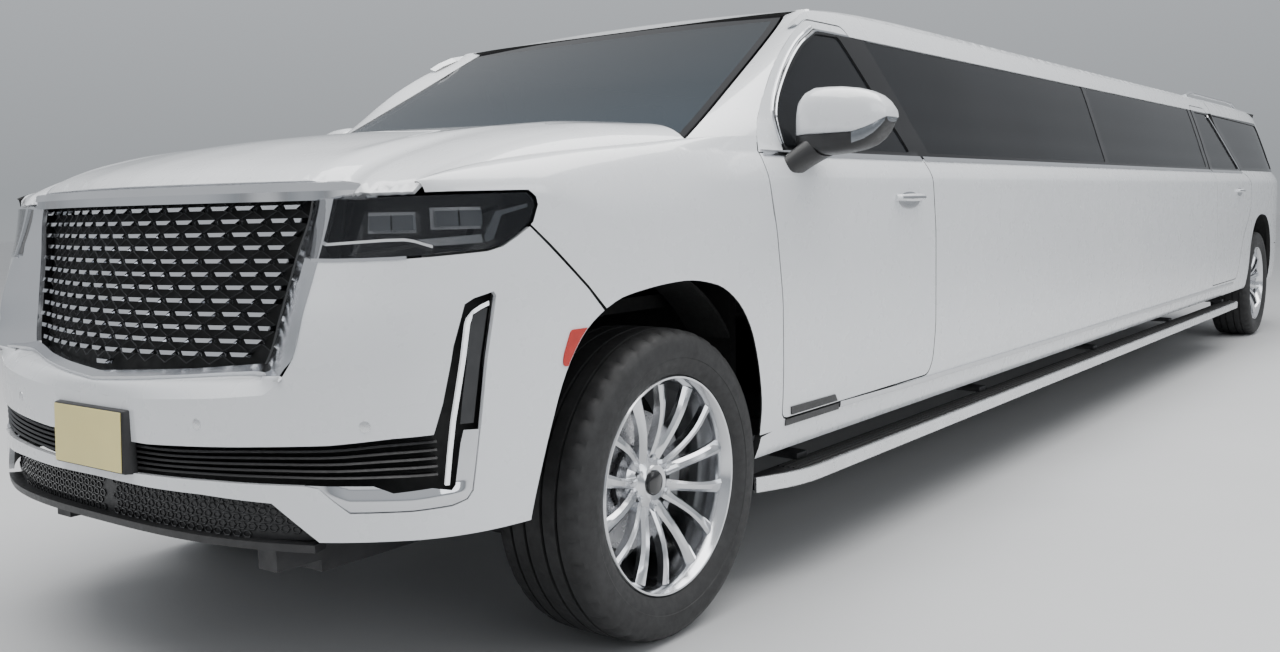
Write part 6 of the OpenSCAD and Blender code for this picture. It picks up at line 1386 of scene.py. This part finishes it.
# ------------------------------------------------------------------ rear
TS = lambda a: float(np.interp(-a, -TAILP.q[:3600, 0], TAILP.s[:3600]))
_ye = TAILP.q[2000:, 1]; _se = TAILP.s[2000:]
SY = lambda y: float(np.interp(-y, -_ye, _se))
S_LG = SY(0.842); S_END = float(TAILP.s[-1])
def s_at_y(y, z):
    s = np.linspace(S_LG-0.25, S_END, 500); P = tsurf(s, np.full_like(s, z))
    return float(np.interp(-y, -P[:, 1], s))
def rear():
    ts = lambda P: np.array([(TS(a), z) for a, z in P])
    door = ts(RD5); arch = ts(RARCHS); win = ts(round_poly(QWIN, 4, 0.02))
    lamp = np.array([(TS(-9.165-DZ), 0.805), (S_LG-0.012, 0.805), (S_LG-0.014, 1.545), (TS(-9.185-DZ), 1.545)]); lamp = round_poly(lamp, 4, 0.02)
    q = np.array([(TS(-7.0535-DZ), 1.812), (TS(-7.0535-DZ), 1.60), (TS(-7.30-DZ), 1.30), (TS(-7.30-DZ), 1.05), (TS(-7.50-DZ), 1.05), (TS(-7.50-DZ), 0.9305), (TS(-7.705-DZ), 0.9305), (TS(-7.705-DZ), 0.412), (TS(-8.794-DZ), 0.412), (TS(-8.794-DZ), 0.7185), (S_LG-0.005, 0.7185), (S_LG-0.005, 1.812)])
    pr = lambda u, v: inside(q, u, v) & ~inside(door, u, v) & ~inside(arch, u, v) & ~inside(win, u, v) & ~inside(lamp, u, v)
    us = np.r_[np.arange(TS(-7.0-DZ), TS(-8.8-DZ), 0.05), np.arange(TS(-8.8-DZ), S_LG, 0.02)]
    Z = np.r_[np.linspace(0.43, 1.16, 20), np.linspace(1.18, 1.29, 8), np.linspace(1.302, 1.80, 26)]
    wp = grow(win, 0.075); zb_ = ZT
    blk = np.array([(TS(-7.0-DZ), 1.3115), (TS(-8.93-DZ), 1.3115), (TS(-8.86-DZ), 1.60), (TS(-8.80-DZ), ZT), (TS(-7.0-DZ), ZT)])
    skin("quarter_skin", [q, door, arch, win, lamp, blk], pr, us, Z, tsurf, tref, 0.028, mats=("white", "trim_soft", "rubber_seal", "ceramic"), slot="body_white", fm=lambda u, v: np.where(inside(blk, u, v), 3, 0), sub=0.03)
    w2 = grow(win, 0.006)
    skin("quarter_glass", [w2], lambda u, v: inside(w2, u, v), np.linspace(w2[:, 0].min(), w2[:, 0].max(), 26), np.linspace(1.33, 1.72, 12), lambda s, z: tsurf(s, z)-0.006*tref(s, z), tref, 0.005, mats=("glass_dark",)*3, slot="privacy_glass")
    l2 = grow(lamp, -0.003)
    skin("tail_lamp", [l2], lambda u, v: inside(l2, u, v), np.linspace(l2[:, 0].min(), l2[:, 0].max(), 8), np.linspace(0.81, 1.54, 24), lambda s, z: tsurf(s, z)+0.002*tref(s, z), tref, 0.045, mats=("lens_red",)*3, slot="lamp_red")
    R = []
    mid = (l2[:, 0].min()+l2[:, 0].max())/2
    for z in np.linspace(0.84, 1.51, 20):
        c = tsurf(mid-0.006, z)+0.002*tref(mid, z)-np.array([XF, 0, 0]); d = tsurf(mid+0.006, z)+0.002*tref(mid, z)-np.array([XF, 0, 0]); n = tref(mid, z)*0.004
        R.append([c, c+n, d+n, d])
    loft("tail_lamp_line", R, ["led_dim"], "root", "lamp_red", 40, True)
    # liftgate
    edge = [(S_LG+0.001, z) for z in np.linspace(0.728, 1.826, 30)]
    lg = np.array([(S_LG+0.001, 0.728), (S_LG+0.001, 1.60), (s_at_y(0.70, 1.76), 1.775), (s_at_y(0.64, 1.82), 1.826), (S_END, 1.834), (S_END, 0.728)])
    wl = np.array([(s_at_y(0.69, 1.306), 1.306), (s_at_y(0.61, 1.76), 1.76), (S_END, 1.76), (S_END, 1.306)])
    rec = np.array([(s_at_y(0.27, 0.80), 0.80), (s_at_y(0.27, 0.96), 0.985), (S_END, 0.985), (S_END, 0.80)])
    pr = lambda u, v: inside(lg, u, v) & ~inside(wl, u, v) & ~inside(rec, u, v)
    blk = np.array([(s_at_y(0.735, 1.28), 1.285), (s_at_y(0.655, 1.78), 1.79), (S_END, 1.79), (S_END, 1.285)])
    skin("liftgate_skin", [lg, wl, rec, blk], pr, np.linspace(S_LG, S_END, 26), np.linspace(0.73, 1.83, 44), tsurf, tref, 0.030, mats=("white", "trim_soft", "white", "ceramic"), body=("liftgate", "liftgate"), slot="body_white", fm=lambda u, v: np.where(inside(blk, u, v), 3, 0), sub=0.03)
    # one rear window and one recess plate, right across
    f = lambda y, z: np.array([[*(tsurf(s_at_y(abs(yy), zz), zz)*np.array([1, 0, 1])+np.array([0, yy, 0]))] for yy, zz in zip(np.atleast_1d(y), np.atleast_1d(z))])
    g = np.array([(-0.694, 1.301), (0.694, 1.301), (0.614, 1.764), (-0.614, 1.764)])
    skin("liftgate_window", [g], lambda u, v: inside(g, u, v), np.linspace(-0.69, 0.69, 21), np.linspace(1.31, 1.76, 12), lambda y, z: f(y, z)+np.array([0.006, 0, 0]), (-1, 0, 0.4), 0.005, mats=("glass_dark",)*3, both=False, body="liftgate", slot="privacy_glass")
    rp = np.array([(-0.272, 0.797), (0.272, 0.797), (0.272, 0.988), (-0.272, 0.988)])
    skin("plate_recess", [rp], lambda u, v: inside(rp, u, v), np.linspace(-0.27, 0.27, 9), np.linspace(0.80, 0.985, 5), lambda y, z: f(y, z)+np.array([0.022, 0, 0]), (-1, 0, 0), 0.006, mats=("white",)*3, both=False, body="liftgate", slot="body_white")
    B = Bag(); xa = XF-9.403-DZ
    B.hexa([(xa, -0.1525, 0.815), (xa, 0.1525, 0.815), (xa+0.004, 0.1525, 0.965), (xa+0.004, -0.1525, 0.965)], [(xa-0.003, -0.1525, 0.815), (xa-0.003, 0.1525, 0.815), (xa+0.001, 0.1525, 0.965), (xa+0.001, -0.1525, 0.965)], 0)
    o = B.done("rear_plate", ["plate"], "liftgate"); bevel(o, 0.0008, 1)
    R = []
    for y in np.linspace(-0.30, 0.30, 17):
        p = f(y, 1.012)[0]-np.array([XF, 0, 0]); R.append([p+np.array([-0.014, 0, 0.006]), p+np.array([-0.016, 0, -0.006]), p+np.array([0.006, 0, -0.012]), p+np.array([0.006, 0, 0.012])])
    loft("liftgate_bar", R, ["chrome"], "liftgate", None, 30)
    # spoiler lip
    R = []
    for y in np.linspace(-0.62, 0.62, 25):
        p = f(min(abs(y), 0.60), 1.822)[0]-np.array([XF, 0, 0]); p[1] = y; t = 1-(abs(y)/0.64)**4*0.6
        R.append([p+np.array([0.012, 0, 0.012]), p+np.array([-0.045*t, 0, 0.006]), p+np.array([-0.048*t, 0, -0.004]), p+np.array([0.002, 0, -0.018])])
    loft("spoiler", R, ["white"], "liftgate", "body_white", 35)
    # rear bumper
    bp = np.array([(TS(-8.802-DZ), 0.424), (TS(-8.802-DZ), 0.712), (S_END, 0.712), (S_END, 0.50), (SY(0.55), 0.50), (SY(0.60), 0.424)])
    skin("rear_bumper_skin", [bp, arch], lambda u, v: inside(bp, u, v) & ~inside(arch, u, v), np.arange(TS(-8.8-DZ), S_END, 0.03), np.linspace(0.43, 0.705, 14), tsurf, tref, 0.016, mats=("white", "black_matte", "white"), slot="body_white")
    bl = np.array([(SY(0.60)+0.004, 0.420), (SY(0.553), 0.498), (S_END, 0.498), (S_END, 0.420)])
    skin("rear_lower", [bl], lambda u, v: inside(bl, u, v), np.arange(SY(0.60), S_END, 0.04), np.linspace(0.43, 0.49, 5), lambda s, z: tsurf(s, z)-0.012*tref(s, z), tref, 0.012, mats=("black_plastic",)*3)
    # step pad on top of the bumper, tail pipes
    R = []
    for y in np.linspace(-0.80, 0.80, 31):
        p = np.array([float(np.interp(-abs(y), -TAILP.q[2000:, 1], TAILP.q[2000:, 0])), y, 0.712]); R.append([p+np.array([0.004, 0, 0.0]), p+np.array([0.006, 0, 0.004]), p+np.array([0.075, 0, 0.004]), p+np.array([0.080, 0, -0.004])])
    loft("bumper_step", R, ["black_plastic"], "root", None, 30)
    B = Bag()
    for sg in (1, -1):
        B.revolve([(0.036, 0.0), (0.040, 0.0), (0.041, 0.16), (0.036, 0.16)], (XF-9.40-DZ, sg*0.62, 0.462), "x", 32, 0)
    B.done("tail_pipes", ["chrome"], smooth_deg=40)
# ------------------------------------------------------------------ camera, light, stage
def stage():
    floor = bpy.data.meshes.new("floor"); bm = bmesh.new()
    n = 3; S = 60.0
    vs = [[bm.verts.new((-S+2*S*i/n, -S+2*S*j/n, 0.0)) for j in range(n+1)] for i in range(n+1)]
    for i in range(n):
        for j in range(n): bm.faces.new((vs[i][j], vs[i+1][j], vs[i+1][j+1], vs[i][j+1]))
    bm.to_mesh(floor); bm.free()
    o = bpy.data.objects.new("floor", floor); bpy.context.scene.collection.objects.link(o)
    m = mat("studio_floor", (0.50, 0.505, 0.51), 0.62, 0.0, 0.03, 0.6, 0.06)
    floor.materials.append(m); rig.stage(o)
    w = bpy.data.worlds.new("studio"); bpy.context.scene.world = w; w.use_nodes = True
    nt = w.node_tree; bg = nt.nodes.get("Background") or nt.nodes.new("ShaderNodeBackground")
    tc = nt.nodes.new("ShaderNodeTexCoord"); sp = nt.nodes.new("ShaderNodeSeparateXYZ"); nt.links.new(tc.outputs["Generated"], sp.inputs[0])
    mr = nt.nodes.new("ShaderNodeMapRange"); mr.inputs["From Min"].default_value = -0.15; mr.inputs["From Max"].default_value = 0.9
    nt.links.new(sp.outputs["Z"], mr.inputs["Value"])
    r = nt.nodes.new("ShaderNodeValToRGB"); e = r.color_ramp.elements
    e[0].position = 0.0; e[0].color = (0.60, 0.61, 0.62, 1); e[1].position = 1.0; e[1].color = (0.95, 0.97, 1.0, 1)
    k = e.new(0.16); k.color = (0.50, 0.53, 0.56, 1); k = e.new(0.40); k.color = (0.78, 0.81, 0.85, 1)
    nt.links.new(mr.outputs[0], r.inputs[0]); nt.links.new(r.outputs[0], bg.inputs["Color"]); bg.inputs["Strength"].default_value = 0.75
    def area(name, loc, tgt, size, sy, power, col=(1, 1, 1)):
        L = bpy.data.lights.new(name, "AREA"); L.shape = "RECTANGLE"; L.size = size; L.size_y = sy; L.energy = power; L.color = col
        ob = bpy.data.objects.new(name, L); bpy.context.scene.collection.objects.link(ob)
        ob.location = loc; d = Vector(tgt)-Vector(loc); ob.rotation_euler = d.to_track_quat("-Z", "Y").to_euler()
        return ob
    area("key_top", (XF-2.0, 1.0, 8.5), (XF-2.5, 0, 0.8), 15.0, 9.0, 1900, (1.0, 0.995, 0.985))
    area("side_fill", (XF-1.0, 11.0, 4.6), (XF-2.5, 0, 0.8), 14.0, 3.5, 330, (0.95, 0.975, 1.0))
def camera():
    a_ = math.atan(0.01); ca, sa = math.cos(a_), math.sin(a_)
    yaw, pit, rol = math.radians(216.99), math.radians(-5.34), math.radians(-0.97)
    C = np.array([2.523, 2.791, 1.131])
    d = np.array([math.cos(yaw)*math.cos(pit), math.sin(yaw)*math.cos(pit), math.sin(pit)])
    r = np.cross(d, [0, 0, 1]); r /= np.linalg.norm(r); u = np.cross(r, d)
    r2 = math.cos(rol)*r+math.sin(rol)*u; u2 = -math.sin(rol)*r+math.cos(rol)*u
    L = lambda v: np.array([v[0]*ca-v[2]*sa, v[1], v[0]*sa+v[2]*ca])
    C, d, r2, u2 = L(C), L(d), L(r2), L(u2)
    cam = bpy.data.cameras.new("cam"); o = bpy.data.objects.new("cam", cam); bpy.context.scene.collection.objects.link(o)
    cam.lens = 33.47; cam.sensor_width = 36.0; cam.sensor_fit = "HORIZONTAL"; cam.dof.use_dof = False; cam.clip_start = 0.05; cam.clip_end = 200
    R = Matrix(((r2[0], u2[0], -d[0]), (r2[1], u2[1], -d[1]), (r2[2], u2[2], -d[2])))
    o.matrix_world = Matrix.Translation(Vector((XF+C[0], C[1], C[2]))) @ R.to_4x4()
    bpy.context.scene.camera = o
# ------------------------------------------------------------------ build
side_panels(); doors(); roof()
front_body(); grille(); fascia(); headlamps()
glass(); wheels()
mirrors(); handles(); mouldings(); boards(); roof_bits()
cabin(); closings(); finishes(); rear()
REP = {"stretch_lower_left": ("stretch_sides",), "front_door_skin_left": ("front_door_left",), "front_door_skin_right": ("front_door_right",), "rear_door_skin_left": ("rear_door_left",), "rear_door_skin_right": ("rear_door_right",),
       "roof_skin": ("roof_panel",), "fender_skin_left": ("front_fenders",), "bumper_skin_left": ("front_bumper",), "hood_skin": ("hood",), "grille_back": ("grille",), "headlamp_lens_left": ("front_lamps",),
       "windscreen": ("windshield",), "side_glass_a_left": ("side_windows",), "door_glass_front_left": ("front_glass_left",), "door_glass_front_right": ("front_glass_right",), "door_glass_rear_left": ("rear_glass_left",), "door_glass_rear_right": ("rear_glass_right",),
       "quarter_skin_left": ("quarter_panels",), "rear_bumper_skin_left": ("rear_bumper",), "tail_lamp_left": ("tail_lamps",), "liftgate_skin_left": ("liftgate",), "liftgate_window": ("liftgate_glass",), "board_deck_left": ("running_boards",), "seat_base_driver": ("seats",)}
for nm in ("front_left", "front_right", "rear_left", "rear_right"):
    e, s_ = nm.split("_"); REP["tyre_"+nm] = (e+"_tyre_"+s_,); REP["wheel_"+nm+"_barrel"] = (e+"_rim_"+s_,)
for k, v in REP.items(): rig.replaces(bpy.data.objects[k], *v)
stage(); camera()
_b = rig.bounds()
json.dump({"cad": [[float(x) for x in CAD_BOX[0]], [float(x) for x in CAD_BOX[1]]], "visual": [[float(x) for x in _b[0]], [float(x) for x in _b[1]]]}, open("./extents.json", "w"))
